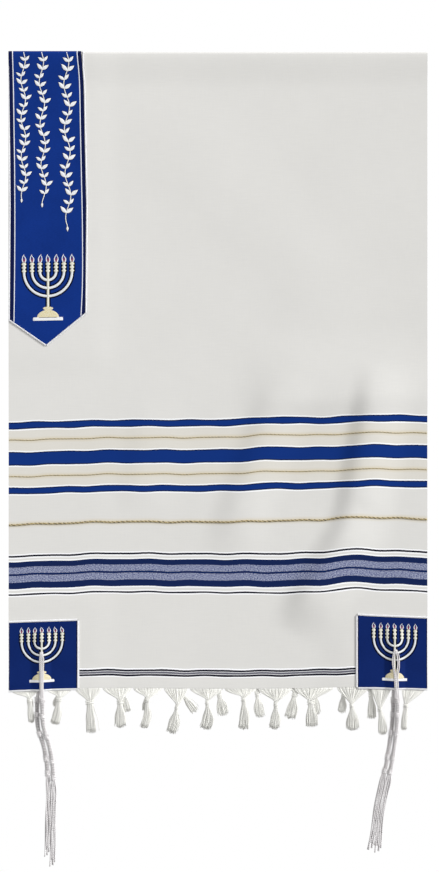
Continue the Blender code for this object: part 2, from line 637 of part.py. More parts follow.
def build_tzitzit(side, sign, collection, cutters, finish):
    """One corner's ritual tassel: a loop through the hole, five double knots with windings, eight strands."""
    corner = f"{side}_{'left' if sign < 0 else 'right'}"
    name = f"tzitzit_{corner}"
    at, length = route_curve(corner, FRONT_ROUTE_HEIGHTS if side == "front" else BACK_ROUTE_HEIGHTS)
    wound = length * WOUND_SHARE
    points, sizes = [], []
    for k, share in enumerate(DOUBLE_KNOTS):
        middle = share * wound
        for offset, radius in ((-0.0026, WINDING_RADIUS), (0.0, KNOT_RADIUS), (0.0026, WINDING_RADIUS)):
            points.append(at((middle + offset) / length) if middle + offset > 0 else at(0.0))
            sizes.append(2 * radius)
        if k < len(DOUBLE_KNOTS) - 1:
            points.append(at((share + DOUBLE_KNOTS[k + 1]) / 2 * WOUND_SHARE))
            sizes.append(2 * WINDING_RADIUS * 0.94)
    start = at(0.0)
    points[0] = start + (start - at(0.01)).normalized() * 0.0024
    sizes[0] = 2 * WINDING_RADIUS * 0.85
    head = tube(name, points, sizes, sizes, collection, sides=6)
    head.data.materials.append(finish)
    helpers = helper_collection(f"{name}_pieces", cutters)
    string_loop(side, sign, start, helpers, "string_loop")
    steps = 5
    for k in range(2 * STRANDS_ACROSS):
        lane, layer = k % STRANDS_ACROSS - (STRANDS_ACROSS - 1) / 2, k // STRANDS_ACROSS
        last = 1.0 - STRAND_ENDS[(k * 3) % 4] / length
        route, widths = [], []
        for step in range(steps + 1):
            share = mix(WOUND_SHARE, last, step / steps)
            here = at(share)
            open_out = min(1.0, step)
            pitch = mix(STRAND_SIDE * 0.75, STRAND_PITCH, open_out)
            z = FLOOR_CLEARANCE + STRAND_SIDE / 2 + layer * STRAND_PITCH
            z = mix(here.z + (layer - 0.5) * pitch, z, open_out)
            route.append(Vector((here.x + lane * pitch, here.y, z)))
            widths.append(STRAND_SIDE)
        tube("strand", route, widths, widths, helpers, across=Vector((1, 0, 0)))
    join_all(head, helpers)


def build():
    for old in list(bpy.data.objects):
        bpy.data.objects.remove(old)
    shawl = bpy.data.collections.new("tallit_prayer_shawl")
    cutters = bpy.data.collections.new("fused_pieces")
    for collection in (shawl, cutters):
        bpy.context.scene.collection.children.link(collection)
    cloth = material("white_cloth", *WHITE_CLOTH)
    blue = material("royal_blue_satin", *ROYAL_BLUE)
    yarn = material("white_yarn", *WHITE_YARN)

    build_shawl(shawl, cloth)
    build_neckband(shawl, blue)
    for side in ("front", "back"):
        for sign in (-1, 1):
            build_patch(side, sign, shawl, blue)
            build_tzitzit(side, sign, shawl, cutters, yarn)
    build_fringe("front", FRONT_FRINGE, FRONT_KNOT_Z, shawl, cutters, yarn)
    build_fringe("back", BACK_FRINGE, BACK_KNOT_Z, shawl, cutters, yarn)
    cutters.hide_render = True


build()
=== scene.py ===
"""The looks of a striped tallit, folded in half and laid flat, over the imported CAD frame.

Metres, +Z up. A place on the cloth is given as x, across the shawl, and s, the length along the cloth
from the middle of the fold: positive on the near half, negative on the far half underneath.
"Drop" is the distance from the outside of the fold towards the hems, as in the CAD source.
"""

import math
import random

import bpy
import numpy as np
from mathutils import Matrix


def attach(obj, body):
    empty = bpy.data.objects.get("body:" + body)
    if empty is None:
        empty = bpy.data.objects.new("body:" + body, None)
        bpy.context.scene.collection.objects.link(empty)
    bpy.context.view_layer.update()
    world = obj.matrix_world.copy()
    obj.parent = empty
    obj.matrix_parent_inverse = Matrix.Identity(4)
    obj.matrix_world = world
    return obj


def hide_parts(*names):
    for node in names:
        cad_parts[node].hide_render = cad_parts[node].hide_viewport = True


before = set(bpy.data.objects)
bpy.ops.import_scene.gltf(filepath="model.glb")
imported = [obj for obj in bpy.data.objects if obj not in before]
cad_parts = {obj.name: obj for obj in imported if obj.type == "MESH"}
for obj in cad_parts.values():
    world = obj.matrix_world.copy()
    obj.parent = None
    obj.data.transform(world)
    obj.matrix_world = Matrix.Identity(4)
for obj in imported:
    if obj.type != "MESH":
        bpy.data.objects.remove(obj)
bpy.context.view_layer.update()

# Dimensions shared with the CAD source, in metres
WIDTH = 0.550
OVERALL_LENGTH = 1.071
FRONT_HEM_DROP = 0.837
BACK_HEM_DROP = 0.823
CLOTH_THICKNESS = 0.0012
LAYER_GAP = 0.0006
SEAM_GAP = 0.0003
PATCH_THICKNESS = 0.0010
EDGE_INSET = 0.0015
PATCH_WIDTHS = {-1: 0.0902, 1: 0.0915}
PATCH_HEIGHTS = {-1: 0.0891, 1: 0.0911}
PATCH_INSET = 0.0001
NECKBAND_WIDTH = 0.099
NECKBAND_SHOULDER_DROPS = (0.3498, 0.3428)
NECKBAND_TIP_DROP = 0.3835
HOLE_FROM_SIDE = 0.043
HOLE_ABOVE_HEM = 0.049
HOLE_WIDTH = 0.0064
HOLE_LENGTH = 0.0050
FOLD_RADIUS = 0.0024
FOLD_BULGE_RUN = 0.045
STRING_BUNDLE = 0.0015
HEM_LIFT = 0.0015
HEM_LIFT_RUN = 0.030
PLATEAU_MARGIN = 0.004
RIDGE_FOOT = 0.0130

CORNERS = (("front", -1), ("front", 1), ("back", -1), ("back", 1))
HANDS = {-1: "left", 1: "right"}
HEM_DROPS = {"front": FRONT_HEM_DROP, "back": BACK_HEM_DROP}
HALF_WIDTH = WIDTH / 2
HALF_CLOTH = CLOTH_THICKNESS / 2
FOLD_Y = OVERALL_LENGTH / 2
FOLD_TO_CENTRE = FOLD_RADIUS + HALF_CLOTH + SEAM_GAP + PATCH_THICKNESS
FOLD_ARC = math.pi / 2 * FOLD_RADIUS
LAYER_PITCH = CLOTH_THICKNESS + LAYER_GAP
PATCH_LIFT = PATCH_THICKNESS + SEAM_GAP
PATCH_BOTTOM = HALF_CLOTH + SEAM_GAP
PATCH_TOP = PATCH_BOTTOM + PATCH_THICKNESS
HOLE_ACROSS = HALF_WIDTH - HOLE_FROM_SIDE
PATCH_TOP_DROP = BACK_HEM_DROP - max(PATCH_HEIGHTS.values())
PLATEAU_EDGE = HALF_WIDTH - EDGE_INSET - NECKBAND_WIDTH - PLATEAU_MARGIN
UNDER_STRINGS_LIFT = STRING_BUNDLE + 2 * SEAM_GAP
BETWEEN_STRINGS_LIFT = UNDER_STRINGS_LIFT - LAYER_GAP
RIDGE_TOP = HOLE_WIDTH / 2
RIDGE_START = BACK_HEM_DROP - HOLE_ABOVE_HEM - 0.018
RIDGE_FULL = BACK_HEM_DROP - HOLE_ABOVE_HEM - 0.006

# How gently the near half runs up onto the far half's patches: softer than in the CAD source
RAMP = 0.045

# Size of the cells that cloth is built from
SHAWL_COLUMN = 0.0062
SHAWL_ROWS = {"front": 0.0050, "back": 0.0090}
FOLD_ROW = 0.0008
NECKBAND_ROW = 0.0050
NECKBAND_SHAPED_FROM = 0.300
PATCH_CELL = 0.0030
NEAR_DOUBLE = 0.0004

# How far the woven rows sag below straight, at three heights of the near half
SAG_LEVELS = (0.0, 0.53, 0.685, 0.837)
# across, at the stripes, at the band, at the hem
SAG = (
    (-0.275, 0.0039, 0.0033, 0.0020),
    (-0.207, 0.0020, 0.0013, -0.0005),
    (-0.142, 0.0003, -0.0009, -0.0010),
    (-0.024, 0.0000, 0.0000, 0.0000),
    (0.029, -0.0013, 0.0000, 0.0002),
    (0.068, -0.0039, 0.0004, 0.0000),
    (0.134, -0.0035, -0.0020, -0.0012),
    (0.173, -0.0055, -0.0063, -0.0022),
    (0.206, -0.0070, -0.0047, -0.0022),
    (0.275, -0.0056, -0.0016, -0.0006),
)

# The neckband's two long edges, which run in a little towards the fold
# drop, left edge, right edge
NECKBAND_EDGES = (
    (0.004, -0.2748, -0.1795),
    (0.038, -0.2742, -0.1765),
    (0.100, -0.2733, -0.1752),
    (0.156, -0.2725, -0.1740),
    (0.235, -0.2723, -0.1724),
    (0.314, -0.2729, -0.1727),
    (0.384, -0.2738, -0.1770),
)

# Soft wrinkles in the near half: ridges that are steep on their left or lower side only. The first two rows
# are one crease, which bends further down here than in the CAD source, and steep sides are wider here.
# x0, drop0, x1, drop1, height, steep half width, gentle half width
WRINKLES = (
    (0.205, 0.450, 0.173, 0.628, 0.0076, 0.031, 0.062),
    (0.173, 0.628, 0.106, 0.738, 0.0082, 0.034, 0.066),
    (0.062, 0.459, 0.262, 0.451, 0.0050, 0.042, 0.095),
    (0.078, 0.462, 0.014, 0.640, 0.0044, 0.038, 0.055),
    (-0.090, 0.070, 0.150, 0.330, 0.0010, 0.085, 0.085),
    (-0.090, 0.480, -0.110, 0.600, 0.0014, 0.032, 0.060),
)

# Woven stripes of each half, as drops from the fold
# from, to, dye
STRIPES = (
    (0.4837, 0.4929, "blue"),
    (0.5231, 0.5408, "blue"),
    (0.5697, 0.5785, "blue"),
    (0.6590, 0.6614, "dark"),
    (0.6675, 0.6747, "navy"),
    (0.6747, 0.6832, "heather"),
    (0.6832, 0.6858, "navy"),
    (0.6858, 0.6948, "heather"),
    (0.6948, 0.7032, "navy"),
    (0.7098, 0.7120, "dark"),
)
HEM_LINES = ((0.8126, 0.8151), (0.8188, 0.8214))
HEM_LINE_REACH = 0.1845
HEM_GREY_HALF_WIDTH = 0.0013
# How far a dye strays along the warp
RAGGED = 0.0007
WEAVE_PITCH = 0.0009
# drop, thread radius, length of one fleck
GOLD_THREADS = (
    (0.5073, 0.00052, 0.0046),
    (0.5552, 0.00052, 0.0046),
    (0.6182, 0.00115, 0.0060),
)
GOLD_HALO = 0.0040
STRIPE_EDGE = 0.0020
BRIGHT_EDGE = 0.0017

# Linear colours
WHITE = (0.700, 0.692, 0.668)
CREAM = (0.640, 0.570, 0.415)
BRIGHT_WHITE = (0.93, 0.94, 0.96)
HEM_GREY = (0.135, 0.135, 0.165)
DYES = {
    "blue": (0.0036, 0.0290, 0.188),
    "navy": (0.0055, 0.0160, 0.078),
    "heather": (0.170, 0.200, 0.340),
    "dark": (0.0150, 0.0140, 0.0240),
}
HEATHER_FLECKS = ((0.064, 0.082, 0.205), (0.40, 0.43, 0.55))
NECKBAND_BLUE = (0.0050, 0.0290, 0.200)
NECKBAND_BORDER = (0.0045, 0.0090, 0.056)
NECKBAND_BORDER_WIDTH = 0.0046
BORDER_LINE_INSET = 0.056
BORDER_LINE_HALF_WIDTH = 0.00058
PATCH_BLUE = (0.0045, 0.0185, 0.120)
PATCH_BORDER = (0.0035, 0.0085, 0.056)
PATCH_BORDER_WIDTH = 0.0016
SHADOW_BLUE = (0.0035, 0.0055, 0.022)
GOLD = (0.68, 0.54, 0.19)
LUREX_FLECKS = ((0.045, 0.032, 0.014), (0.50, 0.38, 0.17))
PALE_PLY = (0.66, 0.56, 0.34)
PALE_GOLD = (0.80, 0.74, 0.44)
CREAM_THREAD = (0.84, 0.81, 0.66)
SILVER_THREAD = (0.82, 0.84, 0.86)
FLAME_RED = (0.30, 0.055, 0.10)
THREAD_WHITE = (0.90, 0.91, 0.94)
SEWING_WHITE = (0.95, 0.95, 0.97)
FRINGE_WHITE = (0.95, 0.945, 0.90)
TZITZIT_WHITE = (0.90, 0.875, 0.88)
# Painted shade: the tzitzit's core is dark to stand for the shade between the windings' turns
TZITZIT_CORE_SHADE = (0.13, 0.115, 0.115)

# The tassels of both hems
# root left, root right, knot x, knot drop, knot width, tail x, tail drop, tail width
FRONT_FRINGE = (
    (-0.2717, -0.2362, -0.2470, 0.8520, 0.0082, -0.2451, 0.8828, 0.0082),
    (-0.2240, -0.1920, -0.2088, 0.8510, 0.0095, -0.2170, 0.8845, 0.0125),
    (-0.1880, -0.1530, -0.1678, 0.8545, 0.0130, -0.1660, 0.8965, 0.0145),
    (-0.1515, -0.1135, -0.1286, 0.8540, 0.0095, -0.1283, 0.8895, 0.0150),
    (-0.1115, -0.0730, -0.0925, 0.8520, 0.0090, -0.1000, 0.8895, 0.0105),
    (-0.0710, -0.0400, -0.0538, 0.8610, 0.0068, -0.0625, 0.8965, 0.0150),
    (-0.0370, 0.0050, -0.0138, 0.8545, 0.0072, -0.0196, 0.8913, 0.0165),
    (0.0085, 0.0500, 0.0341, 0.8510, 0.0085, 0.0322, 0.8918, 0.0145),
    (0.0525, 0.0970, 0.0762, 0.8570, 0.0078, 0.0714, 0.8910, 0.0145),
    (0.1000, 0.1520, 0.1218, 0.8550, 0.0105, 0.1238, 0.8885, 0.0170),
    (0.1560, 0.1985, 0.1757, 0.8590, 0.0075, 0.1766, 0.8930, 0.0178),
    (0.2008, 0.2272, 0.2128, 0.8640, 0.0080, 0.2162, 0.8985, 0.0115),
    (0.2412, 0.2720, 0.2468, 0.8590, 0.0085, 0.2442, 0.8925, 0.0080),
)
BACK_FRINGE = (
    (-0.2717, -0.2402, -0.2480, 0.8430, 0.0075, -0.2468, 0.8640, 0.0085),
    (-0.2240, -0.1890, -0.2092, 0.8440, 0.0065, -0.2138, 0.8620, 0.0075),
    (-0.1860, -0.1500, -0.1680, 0.8450, 0.0080, -0.1675, 0.8680, 0.0100),
    (-0.1480, -0.1110, -0.1235, 0.8440, 0.0075, -0.1195, 0.8690, 0.0110),
    (-0.1080, -0.0730, -0.0929, 0.8440, 0.0075, -0.0960, 0.8680, 0.0090),
    (-0.0700, -0.0375, -0.0460, 0.8450, 0.0080, -0.0290, 0.8690, 0.0120),
    (-0.0345, 0.0170, 0.0020, 0.8450, 0.0090, 0.0090, 0.8735, 0.0160),
    (0.0200, 0.0670, 0.0520, 0.8450, 0.0080, 0.0570, 0.8755, 0.0140),
    (0.0700, 0.1120, 0.1010, 0.8450, 0.0090, 0.0935, 0.8780, 0.0160),
    (0.1140, 0.1460, 0.1290, 0.8450, 0.0070, 0.1300, 0.8730, 0.0100),
    (0.1490, 0.1790, 0.1650, 0.8450, 0.0075, 0.1620, 0.8700, 0.0110),
    (0.1820, 0.2230, 0.2010, 0.8450, 0.0080, 0.2020, 0.8780, 0.0120),
    (0.2405, 0.2720, 0.2490, 0.8440, 0.0065, 0.2470, 0.8610, 0.0070),
)
FRONT_KNOT_Z = 0.0064
BACK_KNOT_Z = 0.0023
YARNS_IN_TASSEL = {"front": 60, "back": 40}
TASSEL_DEPTHS = {"front": 0.0016, "back": 0.0011}
YARN_RADIUS = 0.00056
KNOT_HALF_LENGTH = 0.0026
KNOT_HALF_HEIGHTS = {"front": 0.0021, "back": 0.0012}
KNOT_TURN_RADIUS = 0.00085
# How far each near tassel's tail bows to the right
TAIL_BOWS = (
    0.0, 0.0028, 0.0, 0.0004, 0.0034, 0.0012, 0.0044, 0.0020, 0.0026, 0.0, 0.0006, 0.0012, -0.0004,
)

# Tzitzit routes past the hem: (across, drop), the first point being the first double knot
TZITZIT_ROUTES = {
    "front_left": (
        (-0.2304, 0.8519), (-0.2303, 0.8680), (-0.2286, 0.8880), (-0.2228, 0.9080), (-0.2189, 0.9260),
        (-0.2165, 0.9480), (-0.2158, 0.9830), (-0.2165, 1.0290), (-0.2182, 1.0710),
    ),
    "back_left": (
        (-0.2372, 0.8519), (-0.2374, 0.8680), (-0.2362, 0.8890), (-0.2303, 0.9080), (-0.2260, 0.9280),
        (-0.2237, 0.9500), (-0.2227, 0.9830), (-0.2234, 1.0230), (-0.2252, 1.0580),
    ),
    "front_right": (
        (0.2352, 0.8519), (0.2350, 0.8716), (0.2338, 0.8939), (0.2308, 0.9175), (0.2280, 0.9359),
        (0.2240, 0.9560), (0.2188, 0.9831), (0.2142, 1.0160), (0.2107, 1.0527),
    ),
    "back_right": (
        (0.2302, 0.8519), (0.2296, 0.8716), (0.2275, 0.8939), (0.2239, 0.9175), (0.2210, 0.9359),
        (0.2158, 0.9560), (0.2096, 0.9831), (0.2046, 1.0160), (0.1985, 1.0488),
    ),
}
FRONT_ROUTE_HEIGHTS = (0.0092, 0.0086, 0.0068, 0.0048, 0.0040, 0.0039, 0.0037, 0.0034, 0.0031)
BACK_ROUTE_HEIGHTS = (0.0041, 0.0039, 0.0038, 0.0038, 0.0038, 0.0038, 0.0036, 0.0033, 0.0031)
STRING_RADIUS = 0.00074
LOOP_RADIUS = 0.00078
STRAND_RADIUS = 0.00080
WINDING_RADIUS = 0.0032
WOUND_SHARE = 0.47
WINDING_PITCH = 0.0043
DOUBLE_KNOTS = (0.0, 0.20, 0.46, 0.80, 1.0)
DOUBLE_KNOT_ACROSS = 0.0034
DOUBLE_KNOT_UP = 0.0029
STRANDS_ACROSS = 4
# The loose strings' spacing, and how far they lean towards those of the other half, by side
STRAND_PITCH = {-1: 0.0017, 1: 0.0021}
STRAND_LEAN = {-1: 0.0, 1: 0.0015}
STRAND_LAYER = 0.0017
STRAND_ENDS = (0.0, 0.006, 0.002, 0.009)
LANE_OFFSET = 0.0014
# How far the two pairs of a front corner's strings part between its hole and the hem
LOOP_PARTING = {-1: 0.0, 1: 0.0016}

# Seven-branched lamps, drawn from the centre of their arms, with drops measured from the fold
# x, centre drop, span, arm, cup, flame, dome top, foot, dome, slab
LAMPS = {
    "neckband": (-0.2231, 0.2886, 0.0315, 0.0016, 0.0126, 0.0100, 0.0452, 0.0634, 0.0145, 0.0197),
    "corner_patch_front_left": (
        -0.2311, 0.7742, 0.0267, 0.0013, 0.0116, 0.0074, 0.0385, 0.0537, 0.0120, 0.0164,
    ),
    "corner_patch_front_right": (
        0.2317, 0.7736, 0.0273, 0.0013, 0.0125, 0.0070, 0.0395, 0.0546, 0.0118, 0.0163,
    ),
}
LAMP_RINGS = (1.0, 0.665, 0.335)
LAMP_SHADOW = 0.0019
SLAB_HEIGHT = 0.215
KNOB_MIDDLE = 0.17
DOME_START = 0.30

STITCH_PITCH = 0.00062
STITCH_RADIUS = 0.00034
STITCH_REACH = HALF_WIDTH - 0.0003
STITCH_LEAN = 0.00035
# A stitch's heights out from the cloth's middle: over the panel, over its edge and on the cloth
STITCH_PROUD = (PATCH_TOP + 0.00010, PATCH_TOP - 0.00005, HALF_CLOTH + 0.00030)
STITCH_FLUSH = (PATCH_TOP - STITCH_RADIUS, PATCH_TOP - STITCH_RADIUS, HALF_CLOTH + 0.00030)
NECKBAND_STITCH = 0.0020
PATCH_STITCH = 0.0025

# Leafy vines on the neckband
# x at the top, x at the end, swing, wavelength, first drop, last drop, leaf length
VINES = (
    (-0.2558, -0.2552, 0.0030, 0.050, 0.003, 0.192, 0.0100),
    (-0.2322, -0.2282, 0.0032, 0.054, 0.003, 0.198, 0.0105),
    (-0.1995, -0.1962, 0.0036, 0.058, 0.003, 0.229, 0.0115),
)

# A leaf's half width as a share of its length
LEAF_SHARE = 0.21
STALK_HALF_WIDTH = 0.00055

CAMERA_LENS_MM = 85
PIXELS = (439, 872)
METRES_PER_PIXEL = 0.0013126
VIEW_CENTRE = (0.00197, 0.03015)

WORLD_STRENGTH = 0.48
SUN_STRENGTH = 3.4
SUN_ANGLE = 20
SUN_PLACE = (3.6, 2.0, 2.1)
FILL_POWER = 9
FILL_SIZE = 1.4
FILL_PLACE = (-1.6, 1.2, 1.9)
SWEEP_HALF_WIDTH = 12.0

random.seed(6916)


# Shape of the cloth, by the CAD source's formulas

def smooth(value):
    value = np.clip(value, 0.0, 1.0)
    return value * value * (3 - 2 * value)


def mix(a, b, share):
    return a + (b - a) * share


def unit(vectors):
    return vectors / (np.linalg.norm(vectors, axis=-1, keepdims=True) + 1e-15)


def lengths_along(line):
    """The length of a line of points up to each of them."""
    return np.concatenate([[0], np.cumsum(np.linalg.norm(np.diff(line, axis=0), axis=1))])


def through_table(places, values, at):
    """A smooth curve through a table's values, each of which may be an array as long as at."""
    at = np.asarray(at, float)
    values = [np.broadcast_to(np.asarray(v, float), at.shape) for v in values]
    last = len(places) - 1
    slopes = []
    for k in range(last + 1):
        a, b = max(0, k - 1), min(last, k + 1)
        slopes.append((values[b] - values[a]) / (places[b] - places[a]))
    result = np.where(at <= places[0], values[0], values[last])
    for k in range(last):
        run = places[k + 1] - places[k]
        t = np.clip((at - places[k]) / run, 0, 1)
        ends = (2 * t**3 - 3 * t**2 + 1) * values[k] + (3 * t**2 - 2 * t**3) * values[k + 1]
        leans = (t**3 - 2 * t**2 + t) * slopes[k] + (t**3 - t**2) * slopes[k + 1]
        inside = (at > places[k]) & (at <= places[k + 1])
        result = np.where(inside, ends + leans * run, result)
    return result


def sag(x, drop):
    across = [row[0] for row in SAG]
    levels = [np.zeros_like(x)] + [through_table(across, [row[k] for row in SAG], x) for k in (1, 2, 3)]
    return through_table(SAG_LEVELS, levels, drop)


def wrinkle_height(x, drop):
    total = np.zeros_like(x)
    for x0, drop0, x1, drop1, height, steep, gentle in WRINKLES:
        run_x, run_drop = x1 - x0, drop1 - drop0
        length = math.hypot(run_x, run_drop)
        along = ((x - x0) * run_x + (drop - drop0) * run_drop) / length**2
        off = ((x - x0) * run_drop - (drop - drop0) * run_x) / length
        ends = smooth((along + 0.25) / 0.5) * smooth((1.25 - along) / 0.5)
        across = np.cos(math.pi / 2 * np.minimum(np.abs(off) / np.where(off > 0, gentle, steep), 1.0)) ** 2
        total = total + height * ends * across
    return total


def plateau(x, drop):
    """1 where the cloth stands on the far half's corner patches and neckband."""
    corners = smooth((np.abs(x) - PLATEAU_EDGE + RAMP) / RAMP)
    corners = corners * smooth((drop - PATCH_TOP_DROP + PLATEAU_MARGIN + RAMP) / RAMP)
    band = smooth((RAMP - PLATEAU_EDGE - x) / RAMP)
    band = band * smooth((NECKBAND_TIP_DROP + PLATEAU_MARGIN + RAMP - drop) / RAMP)
    return np.maximum(corners, band)


def string_ridge(x, drop):
    """1 over the strings that run from a corner's hole to the hem."""
    off = np.abs(np.abs(x) - HOLE_ACROSS)
    side = np.clip((RIDGE_FOOT - off) / (RIDGE_FOOT - RIDGE_TOP), 0, 1)
    along = np.clip((drop - RIDGE_START) / (RIDGE_FULL - RIDGE_START), 0, 1)
    return side * along


def back_height(x, drop):
    return HALF_CLOTH + PATCH_LIFT * plateau(x, drop) + UNDER_STRINGS_LIFT * string_ridge(x, drop)


def front_height(x, drop):
    run = drop - FOLD_TO_CENTRE
    bulge = (2 * FOLD_RADIUS - LAYER_PITCH) * (1 - smooth(run / FOLD_BULGE_RUN))
    hem = HEM_LIFT * smooth((drop - FRONT_HEM_DROP + HEM_LIFT_RUN) / HEM_LIFT_RUN)
    strings = BETWEEN_STRINGS_LIFT * string_ridge(x, drop)
    return back_height(x, drop) + LAYER_PITCH + bulge + hem + strings + wrinkle_height(x, drop)


def weft_ripple(x, drop):
    """How far a weft thread strays from its place, as hand-spaced wefts do."""
    slow = 1.6 * np.sin(drop * 31.0) + 0.9 * np.sin(drop * 83.0)
    return 0.00050 * np.sin(x * 92.0 + slow) + 0.00020 * np.sin(x * 157.0 - 1.7 * slow + 1.0)


def middle_surface(x, s):
    drop = FOLD_TO_CENTRE + np.abs(s) - FOLD_ARC
    angle = np.clip(s / FOLD_RADIUS, -math.pi / 2, math.pi / 2)
    on_fold = np.abs(s) < FOLD_ARC
    fold_y = FOLD_Y - FOLD_TO_CENTRE + FOLD_RADIUS * np.cos(angle)
    fold_z = back_height(x, np.full_like(x, FOLD_TO_CENTRE)) + FOLD_RADIUS * (1 + np.sin(angle))
    flat_y = FOLD_Y - drop - np.where(s > 0, sag(x, drop), 0.0)
    flat_z = np.where(s > 0, front_height(x, drop), back_height(x, drop))
    y = np.where(on_fold, fold_y, flat_y)
    z = np.where(on_fold, fold_z, flat_z)
    return np.stack([x, y, z], axis=-1)


def cloth_place(x, s, out):
    """Points of the cloth's middle surface at x and s, moved out along its normal."""
    x, s, out = np.broadcast_arrays(np.asarray(x, float), np.asarray(s, float), np.asarray(out, float))
    step = 0.0004
    across = middle_surface(x + step, s) - middle_surface(x - step, s)
    along = middle_surface(x, s + step) - middle_surface(x, s - step)
    return middle_surface(x, s) + unit(np.cross(along, across)) * out[..., None]


def s_at(drop, side="front"):
    """The length along the cloth at a drop."""
    return (drop - FOLD_TO_CENTRE + FOLD_ARC) * (1 if side == "front" else -1)


# Node materials

class Finish:
    """A Principled material, built up node by node."""

    def __init__(self, name, roughness, values):
        self.material = bpy.data.materials.new(name)
        self.material.use_nodes = True
        self.tree = self.material.node_tree
        self.shader = self.tree.nodes["Principled BSDF"]
        self.shader.inputs["Roughness"].default_value = roughness
        for key, value in values.items():
            self.shader.inputs[key].default_value = value

    def node(self, kind, settings=(), **inputs):
        made = self.tree.nodes.new(kind)
        for key, value in dict(settings).items():
            setattr(made, key, value)
        for key, value in inputs.items():
            self.feed(made.inputs[key.replace("_", " ")], value)
        return made

    def feed(self, socket, value):
        if isinstance(value, bpy.types.NodeSocket):
            self.tree.links.new(value, socket)
        elif hasattr(value, "__len__") and len(value) == 3 and socket.type == "RGBA":
            socket.default_value = (*value, 1)
        else:
            socket.default_value = value

    def math(self, operation, *values, clamp=False):
        made = self.tree.nodes.new("ShaderNodeMath")
        made.operation = operation
        made.use_clamp = clamp
        for socket, value in zip(made.inputs, values):
            self.feed(socket, value)
        return made.outputs[0]

    def scaled(self, value, factor, plus, clamp=False):
        return self.math("MULTIPLY_ADD", value, factor, plus, clamp=clamp)

    def toned(self, colour, tone):
        made = self.node("ShaderNodeVectorMath", {"operation": "SCALE"}, Vector=colour, Scale=tone)
        return made.outputs[0]

    def mix(self, factor, a, b):
        made = self.tree.nodes.new("ShaderNodeMix")
        made.data_type = "RGBA"
        for socket, value in zip((made.inputs[0], made.inputs[6], made.inputs[7]), (factor, a, b)):
            self.feed(socket, value)
        return made.outputs[2]

    def cut(self):
        """The two cloth coordinates of a point, x and s."""
        place = self.node("ShaderNodeUVMap", {"uv_map": "cut"})
        parts = self.node("ShaderNodeSeparateXYZ", Vector=place.outputs[0])
        return parts.outputs[0], parts.outputs[1], place.outputs[0]

    def noise(self, vector, scale, detail, stretch=(1, 1, 1)):
        placed = self.node("ShaderNodeMapping", Vector=vector, Scale=stretch)
        made = self.node("ShaderNodeTexNoise", Vector=placed.outputs[0], Scale=scale, Detail=detail)
        return made.outputs[0]

    def wave(self, value, pitch):
        """A sine from 0 to 1 of a coordinate, with a pitch in metres."""
        turned = self.scaled(value, math.tau / pitch, 0.0)
        return self.scaled(self.math("SINE", turned), 0.5, 0.5)

    def within(self, value, low, high):
        above = self.math("GREATER_THAN", value, low)
        return self.math("MULTIPLY", above, self.math("LESS_THAN", value, high))

    def bump(self, height, distance, strength, onto=None):
        made = self.node("ShaderNodeBump", Height=height, Distance=distance, Strength=strength)
        if onto is not None:
            self.feed(made.inputs["Normal"], onto)
        return made.outputs[0]

    def done(self, colour, normal=None):
        self.feed(self.shader.inputs["Base Color"], colour)
        if normal is not None:
            self.feed(self.shader.inputs["Normal"], normal)
        return self.material


def plain_weave(finish, x, s, pitch):
    """Over-and-under threads: 1 on the crown of a thread and 0 between threads."""
    warp = finish.wave(x, pitch)
    weft = finish.wave(s, pitch)
    checker = finish.math("MULTIPLY", finish.wave(x, pitch * 2), finish.wave(s, pitch * 2))
    crowns = finish.math("MAXIMUM", warp, weft)
    return finish.scaled(checker, 0.5, finish.math("MULTIPLY", crowns, 0.5))


